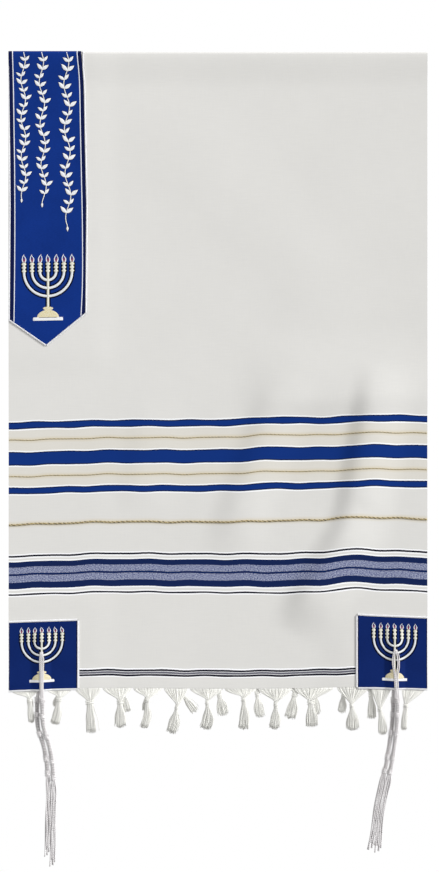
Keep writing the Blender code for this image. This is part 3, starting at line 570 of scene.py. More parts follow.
def shawl_finish():
    """White plain weave with dyed weft stripes in both halves."""
    finish = Finish("woven_shawl", 0.9, {"Specular IOR Level": 0.1})
    x, s, place = finish.cut()
    warp_noise = finish.noise(place, 900, 1, stretch=(1, 0.05, 1))
    weft_noise = finish.noise(place, 900, 1, stretch=(0.05, 1, 1))
    cloudy = finish.noise(place, 9, 3)
    drop = finish.math("SUBTRACT", finish.math("ABSOLUTE", s), s_at(0.0))
    ragged = finish.scaled(warp_noise, RAGGED, drop)

    def dyed(start, end, grow=0.0):
        """1 on the wefts between two drops, moved out by that much."""
        return finish.within(ragged, start + RAGGED / 2 - grow, end + RAGGED / 2 + grow)

    tone = finish.scaled(warp_noise, 0.035, finish.math("MULTIPLY", weft_noise, 0.055))
    tone = finish.math("ADD", tone, finish.scaled(cloudy, 0.06, 0.915))
    banded = finish.within(ragged, STRIPES[0][0], STRIPES[2][1])
    colour = finish.mix(finish.math("MULTIPLY", banded, 0.22), WHITE, CREAM)
    for middle, radius, _ in GOLD_THREADS:
        far = finish.math("ABSOLUTE", finish.math("SUBTRACT", ragged, middle + RAGGED / 2))
        near = finish.scaled(far, -1 / (GOLD_HALO + radius), 1.0, clamp=True)
        colour = finish.mix(finish.math("MULTIPLY", near, 0.75), colour, CREAM)
    for start, end, _ in STRIPES:
        bright = finish.math("MULTIPLY", dyed(start, end, BRIGHT_EDGE), 0.9)
        colour = finish.mix(bright, colour, BRIGHT_WHITE)
    for start, end, dye in STRIPES:
        mask = dyed(start, end)
        shade = DYES[dye]
        if dye == "heather":
            fleck = finish.noise(place, 1100, 2, stretch=(0.5, 1, 1))
            fleck = finish.scaled(fleck, 4.0, -1.55, clamp=True)
            shade = finish.mix(fleck, *HEATHER_FLECKS)
        elif dye == "blue":
            inner = finish.within(ragged, start + STRIPE_EDGE, end + RAGGED - STRIPE_EDGE)
            shade = finish.mix(inner, DYES["navy"], shade)
        colour = finish.mix(mask, colour, shade)
    reach = finish.math("LESS_THAN", finish.math("ABSOLUTE", x), HEM_LINE_REACH)
    around = finish.within(ragged, HEM_LINES[0][0] - BRIGHT_EDGE, HEM_LINES[1][1] + BRIGHT_EDGE)
    colour = finish.mix(finish.math("MULTIPLY", reach, around), colour, BRIGHT_WHITE)
    middle = sum(HEM_LINES[0] + HEM_LINES[1]) / 4
    thin = finish.math("MULTIPLY", reach, dyed(middle, middle, HEM_GREY_HALF_WIDTH))
    colour = finish.mix(thin, colour, HEM_GREY)
    for start, end in HEM_LINES:
        colour = finish.mix(finish.math("MULTIPLY", reach, dyed(start, end)), colour, DYES["dark"])
    shaded = finish.toned(colour, tone)
    weave = plain_weave(finish, x, s, WEAVE_PITCH)
    fuzzy = finish.scaled(weft_noise, 0.6, weave)
    normal = finish.bump(fuzzy, 0.00008, 0.3)
    soft = finish.bump(finish.noise(place, 22, 2), 0.0009, 0.35, onto=normal)
    return finish.done(shaded, soft)


def satin_finish(name, blue, border, border_width, width):
    """Blue satin with darker long edges, ribbed across like a jacquard ribbon."""
    finish = Finish(name, 0.55, {"Specular IOR Level": 0.04})
    x, s, place = finish.cut()
    inside = finish.within(x, border_width, width - border_width)
    colour = finish.mix(inside, border, blue)
    fine = finish.noise(place, 1400, 1, stretch=(0.2, 1, 1))
    cloudy = finish.noise(place, 25, 3)
    tone = finish.scaled(fine, 0.40, 0.62)
    tone = finish.math("ADD", tone, finish.math("MULTIPLY", cloudy, 0.36))
    shaded = finish.toned(colour, tone)
    ribs = finish.wave(s, 0.0007)
    slant = finish.wave(finish.math("ADD", x, s), 0.0011)
    height = finish.scaled(slant, 0.5, ribs)
    normal = finish.bump(height, 0.00008, 0.4)
    soft = finish.bump(finish.noise(place, 45, 2), 0.0007, 0.5, onto=normal)
    return finish.done(shaded, soft)


def thread_finish(name, colour, roughness, pitch=0.0006, second=None):
    """Satin stitches: fine threads laid across a stroke, of one or two colours, with painted shade between
    the stitches.
    """
    finish = Finish(name, roughness, {"Specular IOR Level": 0.2})
    _, along, place = finish.cut()
    stitches = finish.wave(along, pitch)
    fleck = finish.noise(place, 1700, 1)
    base = finish.mix(finish.math("GREATER_THAN", fleck, 0.52), colour, second) if second else colour
    # Painted shade: the colour darkens between the stitches' crowns
    tone = finish.scaled(stitches, 0.22, 0.80)
    shaded = finish.toned(base, tone)
    normal = finish.bump(finish.scaled(fleck, 0.4, stitches), 0.00012, 0.7)
    return finish.done(shaded, normal)


def yarn_finish(name, colour, twist, plies=2, depth=0.3, uneven=0.0):
    """Twisted yarn: slanting plies, darker between them as painted shade, each yarn a little lighter or
    darker. depth is how much darker that painted shade is.
    """
    finish = Finish(name, 0.85, {"Specular IOR Level": 0.1})
    around, along, place = finish.cut()
    turned = finish.scaled(along, 1 / twist, finish.math("MULTIPLY", around, plies))
    ply = finish.wave(turned, 1.0)
    fibre = finish.noise(place, 260, 2, stretch=(0.02, 1, 1))
    # Painted shade: the colour darkens by depth in the grooves between plies
    low = tuple(channel * (1 - depth) for channel in colour)
    base = finish.mix(finish.scaled(ply, 1.8, -0.15, clamp=True), low, colour)
    number = finish.math("FLOOR", around)
    picked = finish.node("ShaderNodeTexWhiteNoise", {"noise_dimensions": "1D"}, W=number).outputs[0]
    tone = finish.scaled(fibre, 0.24, 0.88 - uneven / 2)
    tone = finish.scaled(picked, uneven, tone)
    shaded = finish.toned(base, tone)
    normal = finish.bump(ply, 0.00025, 0.6)
    return finish.done(shaded, normal)


def floor_finish():
    """A white sweep that stays white all over."""
    made = bpy.data.materials.new("white_sweep")
    made.use_nodes = True
    tree = made.node_tree
    glow = tree.nodes.new("ShaderNodeEmission")
    glow.inputs["Color"].default_value = (1, 1, 1, 1)
    glow.inputs["Strength"].default_value = 1.0
    tree.links.new(glow.outputs[0], tree.nodes["Material Output"].inputs["Surface"])
    return made


# Mesh makers

def new_object(name, points, faces, uvs, finish):
    """A smooth-shaded mesh object that rides on the part, with the coordinates its finish uses."""
    mesh = bpy.data.meshes.new(name)
    mesh.from_pydata(points.tolist(), [], faces.tolist() if hasattr(faces, "tolist") else faces)
    corners = np.empty(len(mesh.loops), dtype=np.int32)
    mesh.loops.foreach_get("vertex_index", corners)
    layer = mesh.uv_layers.new(name="cut")
    layer.data.foreach_set("uv", np.asarray(uvs, dtype=np.float32)[corners].ravel())
    mesh.polygons.foreach_set("use_smooth", np.ones(len(mesh.polygons), dtype=bool))
    mesh.materials.append(finish)
    made = bpy.data.objects.new(name, mesh)
    looks.objects.link(made)
    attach(made, "root")
    return made


def mark_sharp(mesh, pairs):
    ends = np.empty(len(mesh.edges) * 2, dtype=np.int64)
    mesh.edges.foreach_get("vertices", ends)
    ends = np.sort(ends.reshape(-1, 2), axis=1)
    wanted = np.sort(np.asarray(pairs, dtype=np.int64), axis=1)
    size = len(mesh.vertices)
    sharp = np.isin(ends[:, 0] * size + ends[:, 1], wanted[:, 0] * size + wanted[:, 1])
    layer = mesh.attributes.new("sharp_edge", "BOOLEAN", "EDGE")
    layer.data.foreach_set("value", sharp)


def cloth_wall(name, x, s, levels, finish, keep=None, drawn=None):
    """A closed sheet over a grid of x and s, between two levels out from the middle surface.

    drawn holds the two coordinates that its finish uses, where they aren't x and s.
    """
    rows, columns = x.shape
    count = rows * columns
    index = np.arange(count).reshape(rows, columns)
    cells = np.stack([index[:-1, :-1], index[1:, :-1], index[1:, 1:], index[:-1, 1:]], axis=-1)
    top = cells.reshape(-1, 4) if keep is None else cells[keep]
    edges = np.concatenate([top[:, [k, (k + 1) % 4]] for k in range(4)])
    forward = edges[:, 0] * count + edges[:, 1]
    backward = edges[:, 1] * count + edges[:, 0]
    rim = edges[~np.isin(forward, backward)]
    sides = np.stack([rim[:, 1], rim[:, 0], rim[:, 0] + count, rim[:, 1] + count], axis=-1)
    faces = np.concatenate([top, top[:, ::-1] + count, sides])
    points = np.concatenate([
        cloth_place(x, s, levels[1]).reshape(-1, 3),
        cloth_place(x, s, levels[0]).reshape(-1, 3),
    ])
    u, v = (x, s) if drawn is None else drawn
    uvs = np.tile(np.stack([u.ravel(), v.ravel()], axis=-1), (2, 1))
    made = new_object(name, points, faces, uvs, finish)
    mark_sharp(made.data, np.concatenate([rim, rim + count]))
    return made


def spaced(start, end, pitch):
    return np.linspace(start, end, max(2, int(round(abs(end - start) / pitch)) + 1))


def merged(*groups):
    """Sorted values of several groups, without near doubles."""
    values = np.sort(np.concatenate(groups))
    return values[np.concatenate([[True], np.diff(values) > NEAR_DOUBLE])]


NARROW_PROFILE = ((-1.0, 0.0), (-0.75, 0.75), (0.0, 1.0), (0.75, 0.75), (1.0, 0.0))
WIDE_PROFILE = tuple((side, min(1.0, 9 * (1 - abs(side)))) for side in np.linspace(-1, 1, 21))


def strokes(name, drawn, base, height, finish, profile=NARROW_PROFILE):
    """Raised embroidery strokes. Each one is a line of (x, s) points with its half widths."""
    points, faces, uvs = [], [], []
    wide = len(profile)
    for line, widths in drawn:
        line = np.asarray(line, float)
        widths = np.broadcast_to(np.asarray(widths, float), (len(line),))
        forward = unit(np.gradient(line, axis=0))
        across = np.stack([-forward[:, 1], forward[:, 0]], axis=-1)
        run = lengths_along(line)
        start = len(points)
        for k, at in enumerate(line):
            for side, crown in profile:
                points.append((*(at + across[k] * widths[k] * side), crown))
                uvs.append((side * widths[k], run[k]))
        for k in range(len(line) - 1):
            for j in range(wide - 1):
                a = start + k * wide + j
                faces.append((a, a + 1, a + wide + 1, a + wide))
    flat = np.array(points)
    placed = cloth_place(flat[:, 0], flat[:, 1], base + flat[:, 2] * height)
    return new_object(name, placed, faces, uvs, finish)


def tubes(name, routes, finish, sides):
    """Round threads: each route is a line of points with one radius or a radius for each point."""
    points, faces, uvs = [], [], []
    start = 0
    turns = np.arange(sides) * math.tau / sides
    for line, radii in routes:
        line = np.asarray(line, float)
        radii = np.broadcast_to(np.asarray(radii, float), (len(line),))
        along = unit(np.gradient(line, axis=0))
        first = np.cross(along[0], (0, 0, 1))
        first = first if np.linalg.norm(first) > 0.1 else np.cross(along[0], (1, 0, 0))
        normals = [unit(first)]
        for here in along[1:]:
            normals.append(unit(normals[-1] - here * normals[-1].dot(here)))
        normals = np.array(normals)[:, None]
        sideways = np.cross(along, normals[:, 0])[:, None]
        ring = normals * np.cos(turns)[:, None] + sideways * np.sin(turns)[:, None]
        points.append((line[:, None] + ring * radii[:, None, None]).reshape(-1, 3))
        run = lengths_along(line) + random.random() * 0.05
        number = random.randrange(12)
        uvs += [(number + k / sides, r) for r in run for k in range(sides)]
        for k in range(len(line) - 1):
            for j in range(sides):
                a, b = start + k * sides + j, start + k * sides + (j + 1) % sides
                faces.append((a, b, b + sides, a + sides))
        faces.append(tuple(start + j for j in reversed(range(sides))))
        faces.append(tuple(start + (len(line) - 1) * sides + j for j in range(sides)))
        start += len(line) * sides
    return new_object(name, np.concatenate(points), faces, uvs, finish)


# The cloth, neckband and patches

def hole_columns(sign):
    """The columns beside a corner's hole and its strings."""
    return np.array([sign * HOLE_ACROSS + k for k in (-RIDGE_FOOT, -RIDGE_TOP, RIDGE_TOP, RIDGE_FOOT)])


def hole_drops(side):
    hole = HEM_DROPS[side] - HOLE_ABOVE_HEM
    return np.array([hole - HOLE_LENGTH / 2, hole + HOLE_LENGTH / 2, RIDGE_START, RIDGE_FULL])


def closed_cells(x, s):
    """True for the cells of a grid that aren't in a corner's hole."""
    centre_x, centre_s = np.meshgrid((x[1:] + x[:-1]) / 2, (s[1:] + s[:-1]) / 2)
    hem = np.where(centre_s > 0, FRONT_HEM_DROP, BACK_HEM_DROP)
    centre_drop = np.abs(centre_s) - s_at(0.0)
    in_hole = np.abs(np.abs(centre_x) - HOLE_ACROSS) < RIDGE_TOP
    return ~(in_hole & (np.abs(centre_drop - hem + HOLE_ABOVE_HEM) < HOLE_LENGTH / 2))


def build_shawl():
    """The folded cloth, with the four corner holes left open."""
    x = merged(spaced(-HALF_WIDTH, HALF_WIDTH, SHAWL_COLUMN), hole_columns(-1), hole_columns(1))
    rows = [spaced(-FOLD_ARC, FOLD_ARC, FOLD_ROW)]
    for side, pitch in SHAWL_ROWS.items():
        drops = merged(spaced(FOLD_TO_CENTRE, HEM_DROPS[side], pitch), hole_drops(side))
        rows.append(s_at(drops[1:], side))
    s = merged(*rows)
    grid_x, grid_s = np.meshgrid(x, s)
    grid_drop = np.abs(grid_s) - s_at(0.0)
    drawn = (grid_x, grid_s - np.sign(grid_s) * weft_ripple(grid_x, grid_drop))
    made = cloth_wall(
        "woven_shawl", grid_x, grid_s, (-HALF_CLOTH, HALF_CLOTH), shawl_finish(),
        closed_cells(x, s), drawn,
    )
    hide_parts("shawl_cloth")
    return made


def neckband_edges(drop):
    drops, lefts, rights = zip(*NECKBAND_EDGES)
    return through_table(drops, lefts, drop), through_table(drops, rights, drop)


def neckband_end(share):
    """The drop at which the pointed band ends, at each share of its width."""
    shoulder = np.where(share < 0.5, *NECKBAND_SHOULDER_DROPS)
    return mix(shoulder, NECKBAND_TIP_DROP, 1 - np.abs(2 * share - 1))


def neckband_place(share, drop):
    """The place across the shawl, at a share of the band's width."""
    return mix(*neckband_edges(np.maximum(drop, FOLD_TO_CENTRE)), share)


def build_neckband():
    share = np.linspace(0, 1, 29)
    fold = spaced(-FOLD_ARC, FOLD_ARC, FOLD_ROW)
    rows = [(s, np.full(len(share), abs(s) - s_at(0.0))) for s in fold]
    for side in ("front", "back"):
        for drop in spaced(FOLD_TO_CENTRE, NECKBAND_SHAPED_FROM, NECKBAND_ROW)[1:]:
            rows.append((s_at(drop, side), np.full(len(share), drop)))
        for part in np.linspace(0, 1, 17)[1:]:
            drops = mix(NECKBAND_SHAPED_FROM, neckband_end(share), part)
            rows.append((s_at(drops[0], side), drops))
    rows.sort(key=lambda row: row[0])
    drops = np.array([row[1] for row in rows])
    signs = np.sign([row[0] for row in rows])[:, None]
    grid_share = np.tile(share, (len(rows), 1))
    grid_x = neckband_place(grid_share, drops)
    grid_s = s_at(drops) * np.where(signs == 0, 1, signs)
    grid_x = np.where(np.abs(grid_s) < FOLD_ARC, neckband_place(grid_share, FOLD_TO_CENTRE), grid_x)
    finish = satin_finish(
        "neckband_satin", NECKBAND_BLUE, NECKBAND_BORDER, NECKBAND_BORDER_WIDTH, NECKBAND_WIDTH,
    )
    drawn = (grid_share * NECKBAND_WIDTH, grid_s)
    levels = (PATCH_BOTTOM, PATCH_TOP)
    made = cloth_wall("neckband_satin", grid_x, grid_s, levels, finish, drawn=drawn)
    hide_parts("neckband")
    return made


def patch_node(side, sign):
    return f"corner_patch_{side}_{HANDS[sign]}"


def patch_edges(side, sign):
    """The patch's sides across and its top and bottom drops."""
    hem = HEM_DROPS[side]
    outer = HALF_WIDTH - PATCH_INSET
    ends = sorted((sign * outer, sign * (outer - PATCH_WIDTHS[sign])))
    return (*ends, hem - PATCH_HEIGHTS[sign], hem + PATCH_INSET)


def build_patch(side, sign, finish):
    low, high, top, bottom = patch_edges(side, sign)
    x = merged(spaced(low, high, PATCH_CELL), hole_columns(sign))
    cuts = hole_drops(side)
    drops = merged(spaced(top, bottom, PATCH_CELL), cuts[(cuts > top) & (cuts < bottom)])
    s = np.sort(s_at(drops, side))
    grid_x, grid_s = np.meshgrid(x, s)
    node = patch_node(side, sign)
    made = cloth_wall(
        f"{node}_satin", grid_x, grid_s, (PATCH_BOTTOM, PATCH_TOP), finish,
        closed_cells(x, s), (grid_x - low, grid_s),
    )
    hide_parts(node)
    return made


# Embroidery

def lamp_strokes(x, s, span, arm, cup, flame, dome_top, foot, dome, slab):
    """A seven-branched lamp as strokes by thread, drawn from the centre of its arms."""
    drawn = {"shadow": [], "silver": [], "cream": [], "gold": [], "red": [], "white": []}
    tops = [x]
    for ring in LAMP_RINGS:
        radius = span * ring
        turns = np.linspace(0, math.pi, 41)
        line = np.stack([x + radius * np.cos(turns), s + radius * np.sin(turns)], axis=-1)
        drawn["silver"].append((line, arm))
        drawn["shadow"].append((line, arm + LAMP_SHADOW))
        tops += [x - radius, x + radius]
    stem = [(x, s + dome_top * t) for t in np.linspace(-0.1, 1.02, 17)]
    drawn["cream"].append((stem, arm * 0.95))
    drawn["shadow"].append((stem, arm + LAMP_SHADOW))
    for top in tops:
        steps = np.linspace(0, 1, 25)
        line = [(top, s + 0.0008 - (cup + 0.0008) * t) for t in steps]
        beads = [arm * (0.80 + 1.05 * math.sin(math.pi * 3 * t) ** 2 + 0.20 * t**3) for t in steps]
        drawn["cream"].append((line, beads))
        drawn["shadow"].append((line, arm * 1.5 + LAMP_SHADOW))
        lean = flame * random.uniform(-0.16, 0.16)
        for name, strokes_of_flame in flame_strokes(top, s - cup, flame, lean, arm).items():
            drawn[name] += strokes_of_flame
    slab_top = foot - slab * SLAB_HEIGHT
    steps = np.linspace(0, 1, 33)
    line = [(x, s + mix(dome_top, slab_top + 0.0006, t)) for t in steps]
    knob = 0.46 * np.sqrt(np.clip(1 - ((steps - KNOB_MIDDLE) / KNOB_MIDDLE) ** 2, 0, 1))
    bowl = np.sqrt(np.clip(1 - ((1 - steps) / (1 - DOME_START)) ** 2, 0, 1))
    drawn["gold"].append((line, np.maximum(dome * np.maximum(knob, bowl), 0.0007)))
    base = [(x, s + mix(slab_top, foot, t)) for t in np.linspace(0, 1, 5)]
    drawn["base"] = [(base, [slab * 0.96, slab, slab, slab, slab * 0.985])]
    return drawn


def flame_strokes(x, s, height, lean, arm):
    """A flame: a leaning outline round a small red heart."""
    steps = np.linspace(0, 1, 11)
    wide = arm * 1.45
    found = {"white": [], "red": []}
    for side in (-1, 1):
        reach = 1.0 if side < 0 else 0.82
        across = x + side * wide * np.sin(math.pi * (0.18 + 0.82 * steps)) + lean * steps**2
        line = np.stack([across, s - 0.0004 - height * reach * steps], axis=-1)
        found["white"].append((line, arm * 0.42 * (1.15 - 0.6 * steps)))
    heart = np.stack([x + lean * 0.2 * steps, s - 0.0003 - height * 0.55 * steps], axis=-1)
    found["red"].append((heart, arm * 0.62 * np.sin(math.pi * (0.15 + 0.85 * steps)) + 0.0001))
    return found


def leaf(x, s, angle, length):
    """A pointed leaf from its stalk outwards."""
    steps = np.linspace(0, 1, 9)
    line = [(x + math.cos(angle) * length * t, s + math.sin(angle) * length * t) for t in steps]
    return line, [length * LEAF_SHARE * math.sin(math.pi * t**0.85) + 0.00008 for t in steps]


def vine_strokes(x0, x1, swing, wavelength, drop0, drop1, leaf_length):
    """A swaying stalk with leaves in pairs and a bud at its end."""
    drawn = []
    steps = spaced(s_at(drop0), s_at(drop1), 0.0025)

    def sway(s):
        share = (s - steps[0]) / (steps[-1] - steps[0])
        return mix(x0, x1, share) + swing * math.sin(math.tau * s / wavelength)

    drawn.append(([(sway(s), s) for s in steps], STALK_HALF_WIDTH))
    pitch = wavelength / 5
    for k in range(1, int((drop1 - drop0) / pitch + 0.2)):
        s = s_at(drop0) + pitch * k
        for side in (-1, 1):
            lean = 0.95 if (k + (side > 0)) % 2 else 0.70
            angle = -math.pi / 2 + side * lean
            drawn.append(leaf(sway(s), s, angle, leaf_length * (0.82 if k % 2 else 1.0)))
    drawn.append(leaf(sway(steps[-1]), steps[-1], math.pi / 2, leaf_length * 0.6))
    return drawn


def border_lines():
    """The fine white line inside each long edge of the neckband's near half."""
    drawn = []
    for share in (BORDER_LINE_INSET, 1 - BORDER_LINE_INSET):
        end = float(neckband_end(np.array(share)))
        fold = spaced(-FOLD_ARC / 2, FOLD_ARC, 0.0006)
        drops = spaced(FOLD_TO_CENTRE, end - 0.001, 0.005)[1:]
        x = neckband_place(share, np.concatenate([np.full(len(fold), FOLD_TO_CENTRE), drops]))
        drawn.append((np.stack([x, np.concatenate([fold, s_at(drops)])], axis=-1), BORDER_LINE_HALF_WIDTH))
    return drawn


def edge_stitches(outline, outward):
    """Overcast stitches along a closed outline of (x, s) points, from the panel down to the cloth."""
    routes = []
    centre = np.mean(outline, axis=0)
    for a, b in zip(outline, outline[1:] + outline[:1]):
        a, b = np.array(a), np.array(b)
        length = np.linalg.norm(b - a)
        along = (b - a) / length
        away = np.array([along[1], -along[0]])
        away = away * np.sign(away.dot((a + b) / 2 - centre))
        spots = a + along * np.arange(STITCH_PITCH / 2, length, STITCH_PITCH)[:, None]
        lean = along * STITCH_LEAN
        places = [spots - lean, spots + away * outward * 0.75, spots + away * outward + lean]
        for place in places:
            place[:, 0] = np.clip(place[:, 0], -STITCH_REACH, STITCH_REACH)
        rises = STITCH_PROUD if a[1] + b[1] > 0 else STITCH_FLUSH
        levels = [cloth_place(p[:, 0], p[:, 1], out) for p, out in zip(places, rises)]
        routes += [(stitch, STITCH_RADIUS) for stitch in zip(*levels)]
    return routes


def neckband_outline():
    """Corners of the whole band, from the near half's point round the fold to the far half's."""
    drops = (*np.linspace(0.020, 0.120, 6), 0.200)
    corners = [(0.0, d) for d in (*drops, NECKBAND_SHOULDER_DROPS[0])] + [(0.5, NECKBAND_TIP_DROP)]
    corners += [(1.0, d) for d in (NECKBAND_SHOULDER_DROPS[1], *reversed(drops))]
    front = [(float(neckband_place(share, drop)), s_at(drop)) for share, drop in corners]
    return [*front, *((x, -s) for x, s in reversed(front))]


def patch_outline(side, sign):
    low, high, *ends = patch_edges(side, sign)
    top, bottom = (s_at(drop, side) for drop in ends)
    return [(low, top), (high, top), (high, bottom), (low, bottom)]


def build_embroidery(patches, neckband):
    """Ornament and edge stitches, returned by the panel that carries them."""
    threads = {
        "shadow": Finish("shadow_thread", 0.9, {"Specular IOR Level": 0.0}).done(SHADOW_BLUE),
        "silver": thread_finish("silver_embroidery", SILVER_THREAD, 0.55),
        "cream": thread_finish("cream_embroidery", SILVER_THREAD, 0.5, second=PALE_GOLD),
        "gold": thread_finish("gold_embroidery", CREAM_THREAD, 0.45, pitch=0.0012, second=GOLD),
        "base": thread_finish("pale_embroidery", THREAD_WHITE, 0.55),
        "red": thread_finish("flame_embroidery", FLAME_RED, 0.6),
        "white": thread_finish("white_embroidery", THREAD_WHITE, 0.6),
    }
    rises = {"shadow": (0.00001, 0.00005), "red": (0.00002, 0.00024), "silver": (0.00002, 0.00034)}
    carried = {neckband.name: []}
    for name, (x, drop, *sizes) in LAMPS.items():
        panel = patches.get(name, neckband)
        made = []
        for thread, drawn in lamp_strokes(x, s_at(drop), *sizes).items():
            base, height = rises.get(thread, (0.00004, 0.00042))
            profile = WIDE_PROFILE if thread in ("gold", "base") else NARROW_PROFILE
            piece = f"{name}_lamp_{thread}"
            made.append(strokes(piece, drawn, PATCH_TOP + base, height, threads[thread], profile))
        carried.setdefault(panel.name, []).extend(made)
    vines = [stroke for vine in VINES for stroke in vine_strokes(*vine)]
    shaded = [(line, np.asarray(widths) + 0.0006) for line, widths in vines]
    for name, drawn, base, height, thread in (
        ("neckband_vine_shadows", shaded, 0.00001, 0.00005, "shadow"),
        ("neckband_vines", vines, 0.00002, 0.00034, "white"),
        ("neckband_border_lines", border_lines(), 0.00002, 0.00030, "white"),
    ):
        made = strokes(name, drawn, PATCH_TOP + base, height, threads[thread])
        carried[neckband.name].append(made)
    sewing = thread_finish("sewing_thread", SEWING_WHITE, 0.7)
    stitched = edge_stitches(neckband_outline(), NECKBAND_STITCH)
    carried[neckband.name].append(tubes("neckband_stitches", stitched, sewing, 4))
    for corner in CORNERS:
        node = patch_node(*corner)
        routes = edge_stitches(patch_outline(*corner), PATCH_STITCH)
        made = tubes(f"{node}_stitches", routes, sewing, 4)
        carried.setdefault(patches[node].name, []).append(made)
    return carried


def build_gold_threads():
    """Metallic threads laid in with the weft: a dark gold and a pale ply, twisted together."""
    gold = Finish("gold_lurex", 0.5, {"Specular IOR Level": 0.3})
    place = gold.cut()[2]
    fleck = gold.noise(place, 320, 2, stretch=(0.02, 1, 1))
    fleck = gold.scaled(fleck, 6.0, -2.6, clamp=True)
    gold = gold.done(gold.mix(fleck, *LUREX_FLECKS))
    pale = yarn_finish("pale_ply", PALE_PLY, 0.0012)
    plies = {"gold": [], "pale": []}
    for side in ("front", "back"):
        for drop, radius, twist in GOLD_THREADS:
            x = spaced(-HALF_WIDTH + 0.0008, HALF_WIDTH - 0.0008, twist / 7)
            s = s_at(drop + weft_ripple(x, np.full_like(x, drop)), side)
            proud = radius * 0.5 if side == "front" else -radius * 0.62
            centre = cloth_place(x, s, HALF_CLOTH + proud)
            turn = math.tau * x / twist + 1.3 * np.sin(x * 130)
            if side == "back":
                plies["gold"].append((centre, radius * 0.62))
                continue
            for name, phase in (("gold", 0.0), ("pale", math.pi)):
                swing = np.stack([0 * x, np.cos(turn + phase) * 0.9, np.sin(turn + phase) * 0.5], axis=-1)
                plies[name].append((centre + swing * radius * 0.6, radius * 0.6))
    return [
        tubes("gold_threads", plies["gold"], gold, 5),
        tubes("gold_thread_pale_plies", plies["pale"], pale, 5),
    ]


# Fringes

def disc_spots(count):
    """Evenly spread spots in a unit disc, in order from left to right."""
    golden = math.pi * (3 - math.sqrt(5))
    places = [(math.sqrt((k + 0.5) / count), k * golden) for k in range(count)]
    return sorted((radius * math.cos(turn), radius * math.sin(turn)) for radius, turn in places)


def hem_point(side, x, below, out):
    return cloth_place(x, s_at(HEM_DROPS[side], side), out) - np.array([0, below, 0])


def bezier(points, shares):
    a, b, c, d = (np.asarray(p, float) for p in points)
    t = np.asarray(shares)[:, None]
    return (1 - t)**3 * a + 3 * (1 - t)**2 * t * b + 3 * (1 - t) * t**2 * c + t**3 * d


def tassel_routes(side, row, knot_z, bow):
    """The warp ends of one tassel: fanned at the hem, gripped by the knot and loose below it."""
    root_left, root_right, knot_x, knot_drop, knot_width, tail_x, tail_drop, tail_width = row
    knot = np.array([knot_x, FOLD_Y - knot_drop, knot_z])
    tail = np.array([tail_x, FOLD_Y - tail_drop, YARN_RADIUS + 0.0010])
    length = np.linalg.norm(tail - knot)
    down = (tail - knot) / length
    up = np.array([0, 0, 1.0])
    across = unit(np.cross(up, down))
    depth = TASSEL_DEPTHS[side]
    grip_across = (knot_width / 2 - YARN_RADIUS) * 0.72
    routes = []
    spots = disc_spots(YARNS_IN_TASSEL[side])
    for k, (u, v) in enumerate(spots):
        place = (k + 0.5) / len(spots)
        root = hem_point(side, mix(root_left, root_right, place), 0.0002, v * 0.0004)
        grip = across * u * grip_across + up * v * min(0.0017, depth)
        entry = knot - down * KNOT_HALF_LENGTH + grip
        leaving = root + np.array([(knot_x - root[0]) * 0.06, -0.0060, 0])
        arriving = entry - down * 0.0045 + grip * 0.5
        fan = bezier((root, leaving, arriving, entry), np.linspace(0, 1, 8))
        reach = length - KNOT_HALF_LENGTH - random.uniform(0.0, 0.0036) - 0.0020 * u**2
        wave = random.uniform(0, math.tau)
        stray = 1.0 + (random.uniform(0.1, 0.5) if random.random() < 0.08 else 0.0)
        spread = across * u * tail_width * 0.47 * stray
        points = list(fan) + [knot + grip * 0.9]
        for t in np.linspace(0, 1, 8):
            opened = mix(grip * 0.95, spread + up * v * depth, float(smooth(t * 1.5)))
            wander = across * 0.00045 * math.sin(wave + t * 7) * t
            sideways = across * bow * math.sin(math.pi * t * 0.8)
            points.append(knot + down * (KNOT_HALF_LENGTH + reach * t) + opened + wander + sideways)
        line = np.array(points)
        line[:, 2] = np.maximum(line[:, 2], YARN_RADIUS + 0.0002)
        thin = np.full(len(line), YARN_RADIUS)
        thin[-1] *= 0.6
        routes.append((line, thin * random.uniform(0.9, 1.08)))
    return routes, knot, down, across


def knot_routes(knot, down, across, size_across, size_up, radius, loops=3):
    """An overhand knot's turns round a bundle, slanted both ways."""
    up = np.cross(across, down)
    up = up if up[2] > 0 else -up
    routes = []
    turns = np.linspace(0, math.tau, 17)
    for k in range(loops):
        shift = (k - (loops - 1) / 2) * radius * 1.7
        slant = 0.45 if k % 2 else -0.35
        ring = [
            knot + across * size_across * math.cos(t) + up * size_up * math.sin(t)
            + down * (shift + slant * size_across * math.cos(t) * 0.6)
            for t in turns
        ]
        routes.append((np.array(ring), radius))
    return routes


def build_fringe(side, table, knot_z, finish):
    routes = []
    for k, row in enumerate(table):
        bow = TAIL_BOWS[k] if side == "front" else random.uniform(-0.0012, 0.0012)
        yarns, knot, down, across = tassel_routes(side, row, knot_z, bow)
        routes += yarns
        size_across = row[4] / 2 - KNOT_TURN_RADIUS
        routes += knot_routes(knot, down, across, size_across, KNOT_HALF_HEIGHTS[side], KNOT_TURN_RADIUS)
    made = tubes(f"knotted_fringe_{side}", routes, finish, 5)
    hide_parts(f"fringe_{side}")
    return made


# Tzitzit

def route_curve(corner, side):
    """A tzitzit's smooth route below the hem, as a function of its share, and its length."""
    heights = FRONT_ROUTE_HEIGHTS if side == "front" else BACK_ROUTE_HEIGHTS
    places = np.array([(x, FOLD_Y - drop, z) for (x, drop), z in zip(TZITZIT_ROUTES[corner], heights)])
    run = lengths_along(places)

    def at(share):
        share = np.atleast_1d(share)
        return np.stack([through_table(run, list(places[:, k]), share * run[-1]) for k in range(3)], axis=-1)

    return at, run[-1]


